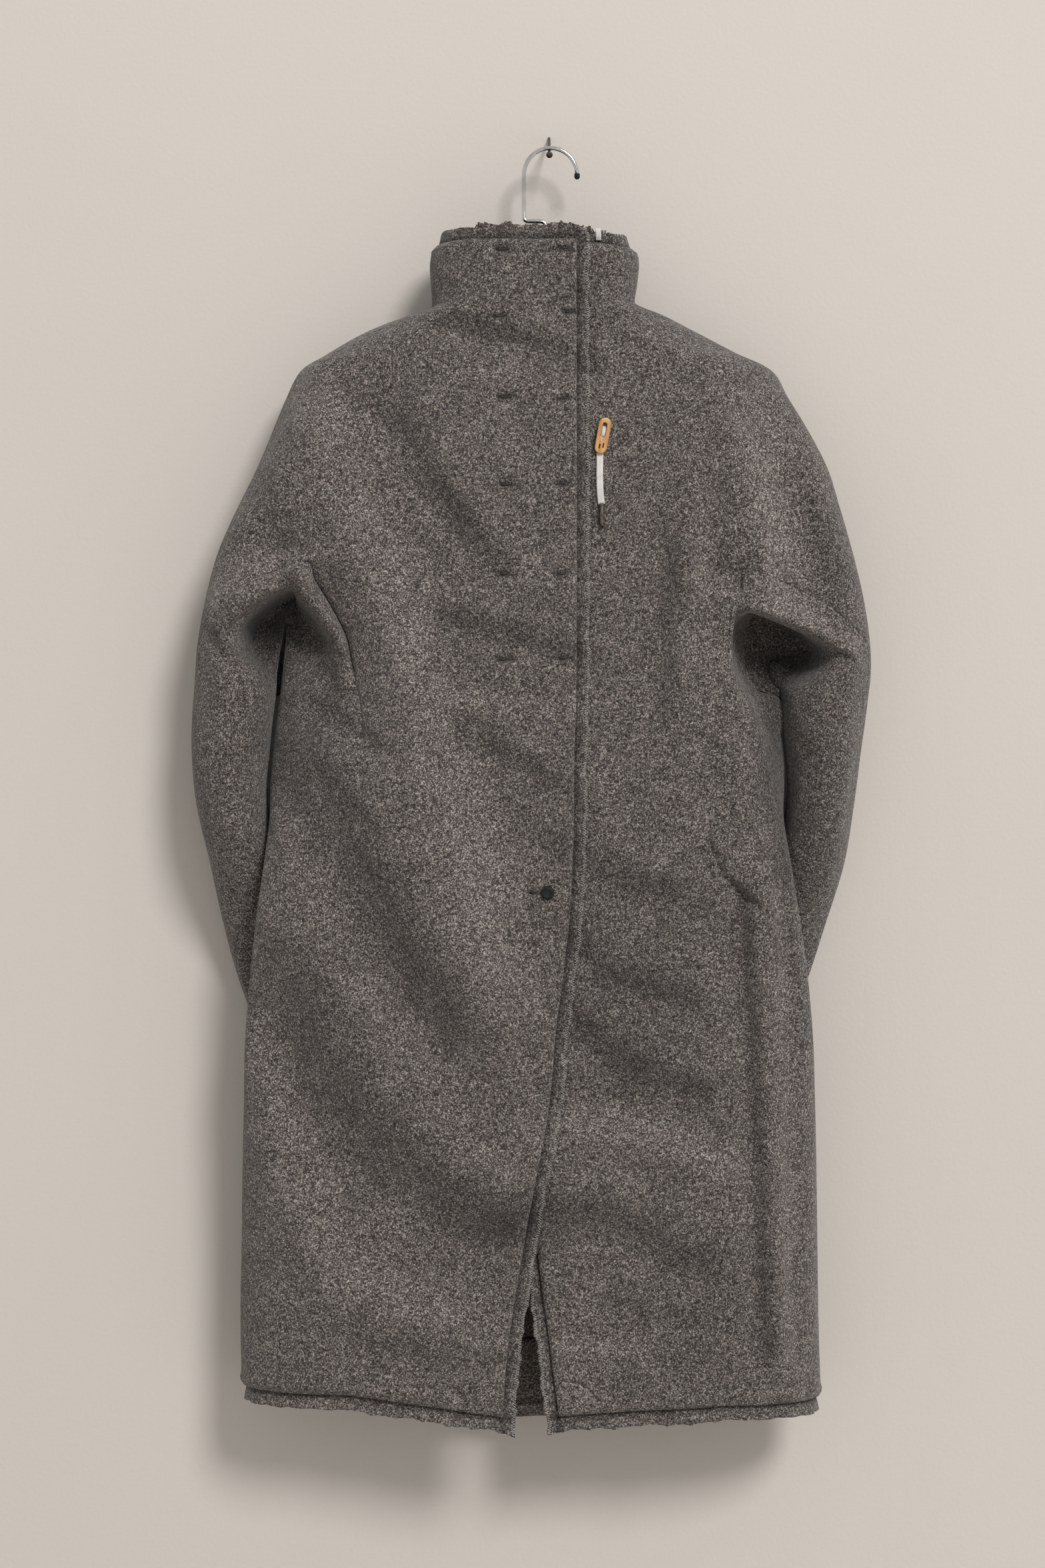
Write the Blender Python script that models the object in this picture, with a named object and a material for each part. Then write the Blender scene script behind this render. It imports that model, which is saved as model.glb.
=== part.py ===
"""Knee-length wool coat hanging from a nail in a wall.

Frame: metres, +Z up, +X to the viewer's right, the wall is the plane Y = 0 and the coat hangs at -Y.
The origin is where the nail enters the wall. The tables are in millimetres, and "h" in them is the distance
out from the wall. "Right" and "left" pieces are the wearer's, so the right front is on the viewer's left.
Every cloth piece is a grid of points on the coat's outer surface, walled inwards to the cloth's thickness.
"""
import math

import bpy
import numpy as np
from mathutils import Vector

MM = 0.001
CLOTH = 3.0  # fulled outer layer
INNER_CLOTH = 2.0  # inner layer
PLY_GAP = 0.3  # between the two layers
SEAM_GAP = 0.2  # each piece stands back this far from a seam
LINING_SEAM_GAP = 0.6  # and the back's inner layers this far
CROWN = 7.0  # the front is this much fuller at its middle than 250 mm out
LAP_DROP = 7.5  # the left front lies this far under the right one
EDGE_OUT = 11.0  # the inner layer stands out past the front edge
HEM_OUT = 13.0  # and past the hem and the collar's top
COLLAR_ROWS = 6  # grid rows down which the inner layer lines the collar

NAIL_DIAMETER = 2.6
NAIL_SLOPE = 30.5  # degrees below level
NAIL_OUT = 46.0
NAIL_IN = 22.0
NAIL_HEAD = 6.0
WIRE = 4.0
HOOK_H = 34.0  # the hook's plane from the wall
HOOK_TOP = (1.0, -40.2)  # centre of the hook's arc
HOOK_RADIUS = 24.0
HANGER_SPAN = 202.0
HANGER_THICK = 9.0
HANGER_TALL = 15.0

SNAP = (-2.4, -684.0)
SNAP_SEAT = 0.5
TOGGLE = (46.3, -284.0)
TOGGLE_SIZE = (32.0, 11.0, 4.5)
TOGGLE_LEAN = 10.4
TOGGLE_SEAT = 1.8
LACE_WIDE = 6.0
LACE_THICK = 0.9
LACE_ROUTE = (  # from the toggle's foot down: x and z from the toggle's centre, and how far off the cloth
    (-2.6, -16.6, 1.6), (-2.7, -24, 1.2), (-2.8, -33, 0.8),
    (-2.7, -42, 0.7), (-2.2, -51, 0.7), (-1.2, -60, 0.8),
)
NECK_LACE = (42.6, -99.5, 87.8)


def table(names, rows):
    """Named columns of a short table as arrays."""
    return dict(zip(names, np.array(rows, float).T))


def at(tab, name, t):
    """The column read at a fractional row t, through its rows on a smooth curve."""
    column = tab[name]
    last = len(column) - 1
    t = np.clip(np.asarray(t, float), 0, last)
    i = np.minimum(t.astype(int), last - 1)
    f = t - i
    slope = np.gradient(column)
    a, b = column[i], column[i + 1]
    return (
        a * (2 * f**3 - 3 * f**2 + 1)
        + slope[i] * (f**3 - 2 * f**2 + f)
        + b * (3 * f**2 - 2 * f**3)
        + slope[i + 1] * (f**3 - f**2)
    )


def by_height(tab, name, z):
    """The column read at a height: its rows run down the coat."""
    heights = -tab["z"]
    rows = np.interp(-np.asarray(z, float), heights, np.arange(len(heights)))
    return at(tab, name, rows)


def ramp(x, low, high):
    """Smooth step from 0 at low to 1 at high."""
    f = np.clip((np.asarray(x, float) - low) / (high - low), 0, 1)
    return f * f * (3 - 2 * f)


CAP_NAMES = ("lap_z", "out_x", "out_z", "out_h", "front_h", "back_h", "round", "turn")
CAP = {  # collar, shoulder and upper sleeve down to the under-sleeve seam
    "right": table(
        CAP_NAMES,
        [
            (-110, -103, -110, 55, 99, 16, 42, 20),
            (-125, -107, -125, 55, 99, 16, 42, 25),
            (-145, -106, -147, 53, 98, 15, 42, 45),
            (-163, -107, -165, 48, 98, 14, 42, 80),
            (-172, -127, -171, 42, 98, 13, 55, 90),
            (-182, -163, -184, 40, 99, 12, 75, 90),
            (-196, -206, -209, 40, 100, 12, 85, 90),
            (-210, -226, -223, 42, 101, 12, 80, 90),
            (-228, -238, -249, 45, 103, 12, 70, 90),
            (-262, -261, -309, 50, 107, 11, 60, 90),
            (-300, -281, -352, 54, 110, 11, 55, 90),
            (-332, -297, -390, 56, 111, 11, 50, 90),
            (-358, -308, -434, 58, 111, 12, 48, 90),
            (-375, -314, -471, 60, 111, 12, 46, 90),
        ],
    ),
    "left": table(
        CAP_NAMES,
        [
            (-110, 76, -113, 55, 99, 16, 42, 37),
            (-125, 80, -125, 55, 99, 16, 42, 40),
            (-145, 78, -146, 53, 98, 15, 42, 55),
            (-163, 78, -160, 48, 98, 14, 42, 85),
            (-172, 99, -168, 42, 98, 13, 55, 90),
            (-182, 131, -184, 40, 99, 12, 75, 90),
            (-196, 170, -205, 40, 100, 12, 85, 90),
            (-210, 202, -222, 42, 101, 12, 80, 90),
            (-228, 214, -244, 45, 103, 12, 70, 90),
            (-262, 246, -303, 50, 107, 11, 60, 90),
            (-300, 262, -355, 54, 110, 11, 55, 90),
            (-335, 274, -400, 56, 111, 11, 50, 90),
            (-362, 283, -445, 58, 111, 12, 48, 90),
            (-380, 286.5, -483, 60, 111, 12, 46, 90),
        ],
    ),
}
ARMPIT = {"right": 0.822, "left": 0.776}  # share of the flat width where the armpit lies
BEND = {"right": (0.40, 3.5), "left": (0.48, 3.3)}  # fall of a row at the flat's end, and its power
SIGN = {"right": -1, "left": 1}
CENTRE_X = -12.0  # the back's middle
BACK_DROP = 105.0  # the under-sleeve seam lies this much lower at the back

BODY_NAMES = ("z", "lap", "under", "front_h", "back_h", "seam_h_r", "seam_h_l")
BODY = table(  # lap: right front's edge; under: left front's; seam_h: back panel at the side panels' seams
    BODY_NAMES,
    [
        (-90, 23, -50, 111, 12, 12, 12),
        (-375, 23, -53, 111, 12, 12, 12),
        (-505, 22.5, -53, 114, 12, 16, 16),
        (-560, 21, -53, 116, 14, 22, 22),
        (-620, 20, -53, 117, 17, 42, 42),
        (-685, 18, -50, 118, 22, 60, 60),
        (-755, 11, -46, 119, 26, 58, 58),
        (-812, 4, -40, 119, 27, 51, 51),
        (-883, -3, -28, 119, 28, 41, 41),
        (-956, -17, -14, 119, 29, 37, 37),
        (-1019, -28, -9, 119, 31, 35, 35),
        (-1079, -37, 0, 120, 33, 34, 34),
        (-1150, -43, 9, 121, 34, 34, 34),
    ],
)
HEM = {"right": (-1140, -1122), "left": (-1141, -1131)}  # outer layer's hem at the front and at the side
BACK_HEM = -1145  # and at the back's middle

SIDE_NAMES = ("z", "seam_x", "valley", "m_x", "m_z", "m_h", "back_x")
SIDE = {  # m: the side panel's outermost line; valley: how far its front seam lies back
    "right": table(
        SIDE_NAMES,
        [
            (-394, -218, 5, -234, -436, 56, -218),
            (-412, -205, 17, -232, -446, 56, -210),
            (-432, -193, 22, -232, -458, 57, -201),
            (-455, -181, 24, -233, -473, 57, -191),
            (-480, -175, 25, -235, -490, 58, -183),
            (-505, -170, 22, -237, -509, 59, -178),
            (-535, -165, 15, -241, -536, 61, -174),
            (-570, -164, 9, -245, -570, 64, -172),
            (-610, -165, 4, -248, -610, 70, -172),
            (-655, -167, 1, -252, -655, 86, -172),
            (-700, -169, 0, -258, -700, 92, -172),
            (-750, -170, 0, -264, -750, 92, -172),
            (-810, -171, 0, -269, -808, 86, -173),
            (-870, -172, 0, -271, -866, 76, -174),
            (-935, -173, 0, -273, -929, 69, -175),
            (-1000, -174, 0, -274, -993, 67, -176),
            (-1070, -175, 0, -275, -1062, 67, -177),
            (-1126, -176, 0, -274, -1121, 67, -178),
        ],
    ),
    "left": table(
        SIDE_NAMES,
        [
            (-401, 175, 4, 181, -450, 56, 175),
            (-414, 168, 4, 173, -457, 56, 170),
            (-434, 163, 4, 167, -466, 57, 166),
            (-456, 160, 4, 164, -477, 57, 162),
            (-480, 159, 4, 166, -489, 58, 160),
            (-505, 158, 3, 177, -510, 60, 158),
            (-535, 158, 2, 193, -537, 62, 156),
            (-570, 158, 1, 202, -570, 64, 154),
            (-610, 158, 0, 206, -610, 70, 152),
            (-655, 158, 0, 212, -655, 86, 150),
            (-700, 158, 0, 219, -700, 92, 150),
            (-750, 158, 0, 226, -750, 92, 150),
            (-810, 158, 0, 232, -809, 86, 150),
            (-870, 157, 0, 235, -868, 76, 150),
            (-935, 156, 0, 237, -932, 69, 149),
            (-1000, 155, 0, 238, -997, 67, 148),
            (-1070, 154, 0, 239, -1067, 67, 147),
            (-1134, 153, 0, 241, -1131, 67, 146),
        ],
    ),
}

TUCK_NAMES = ("rim_x", "rim_z", "rim_h", "lip_x", "lip_z", "lip_h", "pit_x", "pit_z", "pit_h", "m_x", "m_z")
TUCK = {  # the arch of folded cloth over the armpit, from the sleeve's seam to the body
    "right": table(
        TUCK_NAMES,
        [
            (-296, -462, 96, -282, -471, 97, -261, -483, 87, -244, -489),
            (-291, -453, 99, -279, -462, 95, -259, -477, 84, -243.5, -483),
            (-283, -444, 103, -274, -452, 95, -257, -468, 81, -243, -476),
            (-273, -434, 106, -267, -443, 97, -253, -458, 78, -242, -467),
            (-261, -425, 109, -257, -434, 99, -247, -448, 75, -240, -457),
            (-244, -415, 110, -242, -423, 100, -240, -436, 70, -238, -446),
            (-227, -408, 107, -229, -418, 98, -231.5, -427, 75, -234, -436),
            (-214, -420, 101, -221, -427, 94, -227, -436, 74, -232, -446),
            (-201, -437, 98, -208, -441, 89, -221, -450, 72, -232, -458),
            (-188, -458, 95, -195, -461, 85, -215, -468, 73, -233, -473),
            (-182, -482, 90, -193, -483, 84, -215, -487, 77, -235, -490),
            (-178, -506, 89, -195, -507, 85, -217, -508, 79, -237, -509),
            (-178, -535, 97, -198, -536, 90, -222, -536, 82, -241, -536),
        ],
    ),
    "left": table(
        TUCK_NAMES,
        [
            (269, -475, 95, 253, -485, 97, 225, -495, 88, 205, -498),
            (262, -467, 98, 250, -476, 96, 229.8, -484.2, 76, 204, -491),
            (253, -460, 102, 245, -469, 96, 232.5, -474, 68, 203, -483),
            (243, -453, 105, 237, -463, 97, 228.2, -466.2, 64, 201, -475),
            (230, -447, 108, 225, -457, 98, 218.6, -459.4, 64, 198, -466),
            (205, -437, 109, 203, -448, 99, 200.6, -450.4, 64, 192, -457),
            (178, -428, 108, 180, -440, 100, 180.4, -442.4, 64, 181, -450),
            (168, -430, 105, 169, -442, 94, 169.8, -445.2, 64, 173, -457),
            (161, -442, 101, 162, -450, 89, 162.8, -453.6, 64, 167, -466),
            (159, -460, 99, 160, -465, 88, 160.8, -467.8, 68, 164, -477),
            (159.5, -482, 100, 161, -484, 90, 163, -487, 75, 166, -489),
            (164, -506, 104, 171, -507, 94, 175, -509, 79, 177, -510),
            (170, -535, 108, 181, -536, 99, 189, -537, 83, 193, -537),
        ],
    ),
}

SLEEVE_NAMES = ("z", "out_x", "half", "h", "half_h", "seam")
SLEEVE = {  # oval rings below the seam; half, half_h: half its width and depth; seam: degrees from outside
    "right": table(
        SLEEVE_NAMES,
        [
            (-507, -317.5, 36.5, 56, 43, 38),
            (-531, -319.5, 36, 56, 44, 50),
            (-559, -320, 35, 55, 44, 62),
            (-604, -316, 32, 53, 43, 56),
            (-650, -306, 31, 46, 37, 50),
            (-698, -297, 37, 33, 26, 50),
            (-742, -286, 43, 27, 20, 55),
            (-780, -273, 48, 24, 18, 60),
            (-812, -261, 51, 23, 17, 60),
        ],
    ),
    "left": table(
        SLEEVE_NAMES,
        [
            (-514, 284, 38.5, 56, 43, 26),
            (-536, 281, 36.5, 56, 44, 20),
            (-561, 277.5, 33.5, 55, 44, 16),
            (-604, 272, 30, 53, 43, 14),
            (-650, 265.5, 31.5, 46, 37, 14),
            (-698, 252.5, 38, 33, 26, 14),
            (-742, 239, 44, 27, 20, 14),
            (-780, 226, 49, 24, 18, 14),
            (-812, 215, 52, 23, 17, 14),
        ],
    ),
}

FOLD_NAMES = ("x1", "z1", "x2", "z2", "width", "depth")
FOLDS = table(  # soft troughs (positive) and swells (negative) across both fronts
    FOLD_NAMES,
    [
        (-150, -250, -60, -430, 28, 3.5),
        (-195, -300, -110, -560, 30, -3.0),
        (-150, -520, -60, -760, 34, 4.0),
        (-60, -560, -20, -700, 30, -3.0),
        (-210, -700, -120, -900, 34, -3.0),
        (-130, -880, -60, -960, 34, 3.5),
        (110, -300, 120, -520, 26, -2.5),
        (55, -620, 110, -800, 32, 3.5),
        (60, -880, 190, -900, 26, -3.5),
        (50, -950, 150, -940, 24, 3.5),
        (191, -815, 190, -1010, 9, 3.0),
        (-95, -180, 10, -176, 9, 2.5),
    ],
)

V_ROWS = np.array(
    [0, 1, 1.5, 2, 2.4, 2.75, 3.1, 3.5, 4, 5, 6, 7, 8, 8.6, 9.2, 9.8, 10.4, 11, 11.6, 12.3, 13]
)
FLAT = (0.0, 0.18, 0.37, 0.56, 0.76)  # shares of the way from the lap to the armpit
TURN = np.radians([15, 30, 45, 60, 75, 90])  # columns round the sleeve's front; the fourth is its seam
ARM_COL = 5
SLEEVE_COL = 11
LAST_COL = 13


def folds(x, z):
    """How far the soft folds set the front back."""
    out = 0.0
    for x1, z1, x2, z2, width, depth in zip(*(FOLDS[name] for name in FOLD_NAMES)):
        along = np.array([x2 - x1, z2 - z1])
        length = np.hypot(*along)
        s = ((x - x1) * along[0] + (z - z1) * along[1]) / length
        across = ((x - x1) * along[1] - (z - z1) * along[0]) / length
        past = np.maximum(np.maximum(-s, s - length), 0)
        out = out + depth * np.exp(-((across / width) ** 2) - (past / (1.5 * width)) ** 2)
    return out


def flats(side):
    """Shares of the flat width at each flat column: lap, chest, armpit and on to where the sleeve turns."""
    arm = ARMPIT[side]
    return np.array([f * arm for f in FLAT] + [arm, (1 + arm) / 2, 1.0])


def lap_x(side, z):
    return by_height(BODY, "lap" if side == "right" else "under", z)


def settle(side, x, z, h):
    """The crown, the folds and the lap's step, taken off the front's plain distance from the wall."""
    h = h - CROWN * ((x + 10) / 250) ** 2 - folds(x, z)
    if side == "left":
        h = h - LAP_DROP * (1 - ramp(x, 45, 130))
    return h


def fall(side, w, theta):
    """Share of a row's fall from lap to outer end, over the flat width w and then the turn theta."""
    bend, power = BEND[side]
    return np.where(theta > 0, bend + (1 - bend) * theta / (math.pi / 2), bend * np.clip(w, 0, 1) ** power)


def unit(n):
    return n / np.linalg.norm(n, axis=-1, keepdims=True)


def out_of(x, z, h, nx, nh, nz=0.0):
    """Points and outward normals in the world's axes."""
    x, z, h, nx, nh, nz = np.broadcast_arrays(x, z, h, nx, nh, nz)
    return np.stack([x, -h, z], -1) * MM, unit(np.stack([nx, -nh, nz], -1))


def cap(side, w, theta, v, rise=0.0, past=0.0):
    """Front above the under-sleeve seam. w: over the flat width. theta: round the sleeve. v: down the table.

    x: lap edge to the turn, then the turn's sine; h: front depth, then its cosine; z: the row's fall.
    rise lifts a row and past moves it out beyond the lap's edge.
    """
    tab = CAP[side]
    sign = SIGN[side]
    out_x, out_z = at(tab, "out_x", v), at(tab, "out_z", v)
    out_h, round_ = at(tab, "out_h", v), at(tab, "round", v)
    top = at(tab, "lap_z", v)
    angle = theta * at(tab, "turn", v) / 90
    z = top + (out_z - top) * fall(side, w, theta) + rise
    turn_x = out_x - sign * round_
    start = lap_x(side, z)
    flat_x = start + (turn_x - start) * w + (1 if side == "right" else -1) * past
    x = np.where(theta > 0, turn_x + sign * round_ * np.sin(angle), flat_x)
    deep = settle(side, np.where(theta > 0, turn_x, x), z, at(tab, "front_h", v))
    h = np.where(theta > 0, out_h + (deep - out_h) * np.cos(angle), deep)
    nx = np.where(theta > 0, sign * np.sin(angle) * (deep - out_h), 0)
    nh = np.where(theta > 0, np.cos(angle) * round_, 1)
    return out_of(x, z, h, nx, nh, 0.35 * np.hypot(nx, nh) * ramp(v, 2.4, 5) * (1 - ramp(v, 6, 8)))


def skirt(side, w, t, drop=0.0, past=0.0):
    """Front below the armpit. w runs over the flat width, t down the side table, drop lowers a row."""
    arm = ARMPIT[side]
    share = w / arm
    tab = SIDE[side]
    table_end = len(tab["z"]) - 1
    cap_tab = CAP[side]
    armpit_z = cap_tab["lap_z"][-1] + (cap_tab["out_z"][-1] - cap_tab["lap_z"][-1]) * fall(side, arm, 0)
    seam_z = at(tab, "z", t)
    first = cap_tab["lap_z"][-1] + (cap_tab["out_z"][-1] - cap_tab["lap_z"][-1]) * fall(side, w, 0)
    front_hem, side_hem = HEM[side]
    hem = front_hem + (side_hem - front_hem) * share
    down = (armpit_z - seam_z) / (armpit_z - tab["z"][table_end])
    z = first + (hem - first) * down - drop
    start = lap_x(side, z)
    x = start + (at(tab, "seam_x", t) - start) * share + (1 if side == "right" else -1) * past
    dip = at(tab, "valley", t) * ramp(share, 0.78, 1) ** 1.5
    h = settle(side, x, z, by_height(BODY, "front_h", z)) - dip
    return out_of(x, z, h, 0, 1)


def row_normal(points, sign):
    """Normals of a side panel's rows, from the grid itself, pointing out of the coat."""
    along = np.gradient(points, axis=0)
    across = np.gradient(points, axis=1)
    return unit(np.cross(across, along)) * sign


def sleeve_ring(side, k, phi):
    """Points of ring k of the sleeve: an oval square to its run. phi: 0 outside, 90 degrees in front."""
    tab = SLEEVE[side]
    sign = SIGN[side]
    middle = tab["out_x"] - sign * tab["half"]
    lean = np.gradient(middle) / np.gradient(tab["z"])
    cos = 1 / np.hypot(1, lean[k])
    reach = sign * tab["half"][k] * np.cos(phi)
    x = middle[k] + reach * cos
    z = tab["z"][k] - reach * cos * lean[k]
    h = tab["h"][k] + tab["half_h"][k] * np.sin(phi)
    return out_of(
        x, z, h, sign * np.cos(phi) / tab["half"][k], np.sin(phi) / tab["half_h"][k], 0.0
    )


def walled(name, points, normals, cells, wall, material, gap=SEAM_GAP, flip=False):
    """A wall over the given cells of a grid: outer points, points moved in by the wall, and edge strips."""
    rows, cols = cells.shape
    used = np.zeros((rows + 1, cols + 1), bool)
    for dr in (0, 1):
        for dc in (0, 1):
            used[dr:dr + rows, dc:dc + cols] |= cells
    outer = stand_back(points, cells, gap * MM)
    index = np.full(used.shape, -1)
    index[used] = np.arange(used.sum())
    count = int(used.sum())
    top = outer[used]
    inner = top - normals[used] * wall * MM
    faces = []
    edges = {}
    for r, c in zip(*np.nonzero(cells)):
        quad = (index[r, c], index[r + 1, c], index[r + 1, c + 1], index[r, c + 1])
        if flip:
            quad = quad[::-1]
        for a, b, d in ((0, 1, 2), (0, 2, 3)):
            faces.append((quad[a], quad[b], quad[d]))
            faces.append((quad[d] + count, quad[b] + count, quad[a] + count))
        for a, b in zip(quad, quad[1:] + quad[:1]):
            edges[(a, b)] = True
    for a, b in edges:
        if (b, a) not in edges:
            faces.append((b, a, a + count))
            faces.append((b, a + count, b + count))
    return new_object(name, np.vstack([top, inner]), faces, material)


def stand_back(points, cells, gap):
    """Boundary points of the cells moved into the cloth by the seam gap."""
    pull = np.zeros(points.shape)
    for r, c in zip(*np.nonzero(cells)):
        corners = ((r, c), (r + 1, c), (r + 1, c + 1), (r, c + 1))
        for k, here in enumerate(corners):
            for other in (corners[k - 1], corners[(k + 1) % 4]):
                step = points[other] - points[here]
                size = np.linalg.norm(step)
                if size > 0 and on_edge(cells, here) and not edge_between(cells, here, other):
                    pull[here] += step / size
    size = np.linalg.norm(pull, axis=-1, keepdims=True)
    return points + np.where(size > 0, pull / np.maximum(size, 1e-9), 0) * gap


def cell_at(cells, r, c):
    rows, cols = cells.shape
    return 0 <= r < rows and 0 <= c < cols and bool(cells[r, c])


def on_edge(cells, point):
    r, c = point
    return not all(cell_at(cells, r + dr, c + dc) for dr in (-1, 0) for dc in (-1, 0))


def edge_between(cells, a, b):
    """Whether the grid line between two neighbouring points bounds the cells."""
    (r1, c1), (r2, c2) = sorted((a, b))
    if r1 == r2:
        return cell_at(cells, r1 - 1, c1) != cell_at(cells, r1, c1)
    return cell_at(cells, r1, c1 - 1) != cell_at(cells, r1, c1)


def new_object(name, vertices, faces, material):
    mesh = bpy.data.meshes.new(name)
    mesh.from_pydata([tuple(v) for v in vertices], [], [tuple(int(i) for i in f) for f in faces])
    mesh.validate()
    mesh.materials.append(material)
    obj = bpy.data.objects.new(name, mesh)
    bpy.context.scene.collection.objects.link(obj)
    mesh.shade_smooth()
    return obj


def make_material(name, colour, roughness, metallic=0.0):
    material = bpy.data.materials.new(name)
    material.use_nodes = True
    shader = material.node_tree.nodes["Principled BSDF"]
    shader.inputs["Base Color"].default_value = (*colour, 1.0)
    shader.inputs["Roughness"].default_value = roughness
    shader.inputs["Metallic"].default_value = metallic
    return material


def front_grid(side):
    """Points, normals and cells of one front: cap rows, then body rows and the sleeve's outer strip."""
    w = np.append(flats(side), np.ones(6))
    theta = np.append(np.zeros(8), TURN)
    cap_p, cap_n = cap(side, w[None, :], theta[None, :], V_ROWS[:, None])
    body_t = np.arange(1, len(SIDE[side]["z"]))
    low = max(len(body_t), len(SLEEVE[side]["z"]))
    points = np.zeros((len(V_ROWS) + low, LAST_COL + 1, 3))
    normals = np.zeros(points.shape)
    normals[..., 1] = -1
    points[: len(V_ROWS)] = cap_p
    normals[: len(V_ROWS)] = cap_n
    p, n = skirt(side, w[None, : ARM_COL + 1], body_t[:, None])
    points[len(V_ROWS):len(V_ROWS) + len(body_t), : ARM_COL + 1] = p
    normals[len(V_ROWS):len(V_ROWS) + len(body_t), : ARM_COL + 1] = n
    for k, seam in enumerate(SLEEVE[side]["seam"]):
        phi = np.radians(np.linspace(seam, 0, LAST_COL - SLEEVE_COL + 1))
        p, n = sleeve_ring(side, k, phi)
        points[len(V_ROWS) + k, SLEEVE_COL:] = p
        normals[len(V_ROWS) + k, SLEEVE_COL:] = n
    cells = np.zeros((len(points) - 1, LAST_COL), bool)
    cells[: len(V_ROWS) - 1] = True
    cells[len(V_ROWS) - 1:len(V_ROWS) - 1 + len(body_t), :ARM_COL] = True
    cells[len(V_ROWS) - 1:len(V_ROWS) - 1 + len(SLEEVE[side]["z"]), SLEEVE_COL:] = True
    return points, normals, cells


def back_half(side):
    """Back from its middle line to one side's seams, on the same rows as the fronts."""
    tab = CAP[side]
    sign = SIGN[side]
    w = np.append(flats(side), np.ones(6))[None, :]
    theta = np.append(np.zeros(8), TURN)[None, :]
    v = V_ROWS[:, None]
    out_x, out_z = at(tab, "out_x", v), at(tab, "out_z", v)
    out_h, back_h, round_ = at(tab, "out_h", v), at(tab, "back_h", v), at(tab, "round", v)
    deep = settle(side, out_x - sign * round_, out_z, at(tab, "front_h", v))
    end = math.pi - np.radians(at(tab, "turn", v))
    psi = theta / (math.pi / 2) * end
    top = at(tab, "lap_z", v)
    drop = BACK_DROP * ramp(v, 7, 13) * (1 - theta / (math.pi / 2)) ** 2
    z = top + (out_z - top) * fall(side, w, theta) - drop
    turn_x = out_x - sign * round_
    flat_x = CENTRE_X + (turn_x - CENTRE_X) * w
    x = np.where(theta > 0, turn_x + sign * round_ * np.sin(psi), flat_x)
    swing = np.where(psi > math.pi / 2, deep - out_h, out_h - back_h)
    h = np.where(theta > 0, out_h - swing * np.cos(psi), back_h)
    nx = np.where(theta > 0, sign * np.sin(psi) * swing, 0)
    nh = np.where(theta > 0, -np.cos(psi) * round_, -1)
    lift = 0.35 * np.hypot(nx, nh) * ramp(v, 2.4, 5) * (1 - ramp(v, 6, 8))
    cap_p, cap_n = out_of(x, z, h, nx, nh, lift)
    side_tab = SIDE[side]
    t = np.arange(1, len(side_tab["z"]))[:, None]
    points = np.zeros((len(V_ROWS) + len(t), LAST_COL + 1, 3))
    normals = np.zeros(points.shape)
    normals[..., 1] = 1
    points[: len(V_ROWS)] = cap_p
    normals[: len(V_ROWS)] = cap_n
    share = (flats(side)[: ARM_COL + 1] / ARMPIT[side])[None, :]
    seam_z = at(side_tab, "z", t)
    low = (side_tab["z"][0] - seam_z) / (side_tab["z"][0] - side_tab["z"][-1])
    middle_top = at(tab, "lap_z", 13) - BACK_DROP
    middle_z = middle_top + (BACK_HEM - middle_top) * low
    seam_z = seam_z - BACK_DROP * (1 - ramp(t, 0, 9))
    z = middle_z + (seam_z - middle_z) * share**2
    x = CENTRE_X + (at(side_tab, "back_x", t) - CENTRE_X) * share
    seam_h = by_height(BODY, "seam_h_r" if side == "right" else "seam_h_l", seam_z)
    middle_h = by_height(BODY, "back_h", seam_z)
    p, n = out_of(x, z, middle_h + (seam_h - middle_h) * ramp(share, 0.25, 1), 0, -1)
    points[len(V_ROWS):, : ARM_COL + 1] = p
    normals[len(V_ROWS):, : ARM_COL + 1] = n
    for k, seam in enumerate(SLEEVE[side]["seam"]):
        phi = -np.radians(np.linspace(seam, 0, LAST_COL - SLEEVE_COL + 1))
        p, n = sleeve_ring(side, k, phi)
        points[len(V_ROWS) + k, SLEEVE_COL:] = p
        normals[len(V_ROWS) + k, SLEEVE_COL:] = n
    return points, normals


def back_grid():
    """The whole back: the right half's columns from its outer edge in, then the left half's out."""
    right_p, right_n = back_half("right")
    left_p, left_n = back_half("left")
    points = np.concatenate([right_p[:, ::-1], left_p[:, 1:]], 1)
    normals = np.concatenate([right_n[:, ::-1], left_n[:, 1:]], 1)
    _, _, half = front_grid("left")
    cells = np.concatenate([half[:, ::-1], half], 1)
    return points, normals, cells


def arc(start, middle, centre, angles):
    """Quarter of an oval from start to middle about a centre."""
    s, c = np.sin(angles)[:, None], np.cos(angles)[:, None]
    return np.asarray(middle) * s + np.asarray(start) * c + np.asarray(centre) * (1 - s - c)


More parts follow.
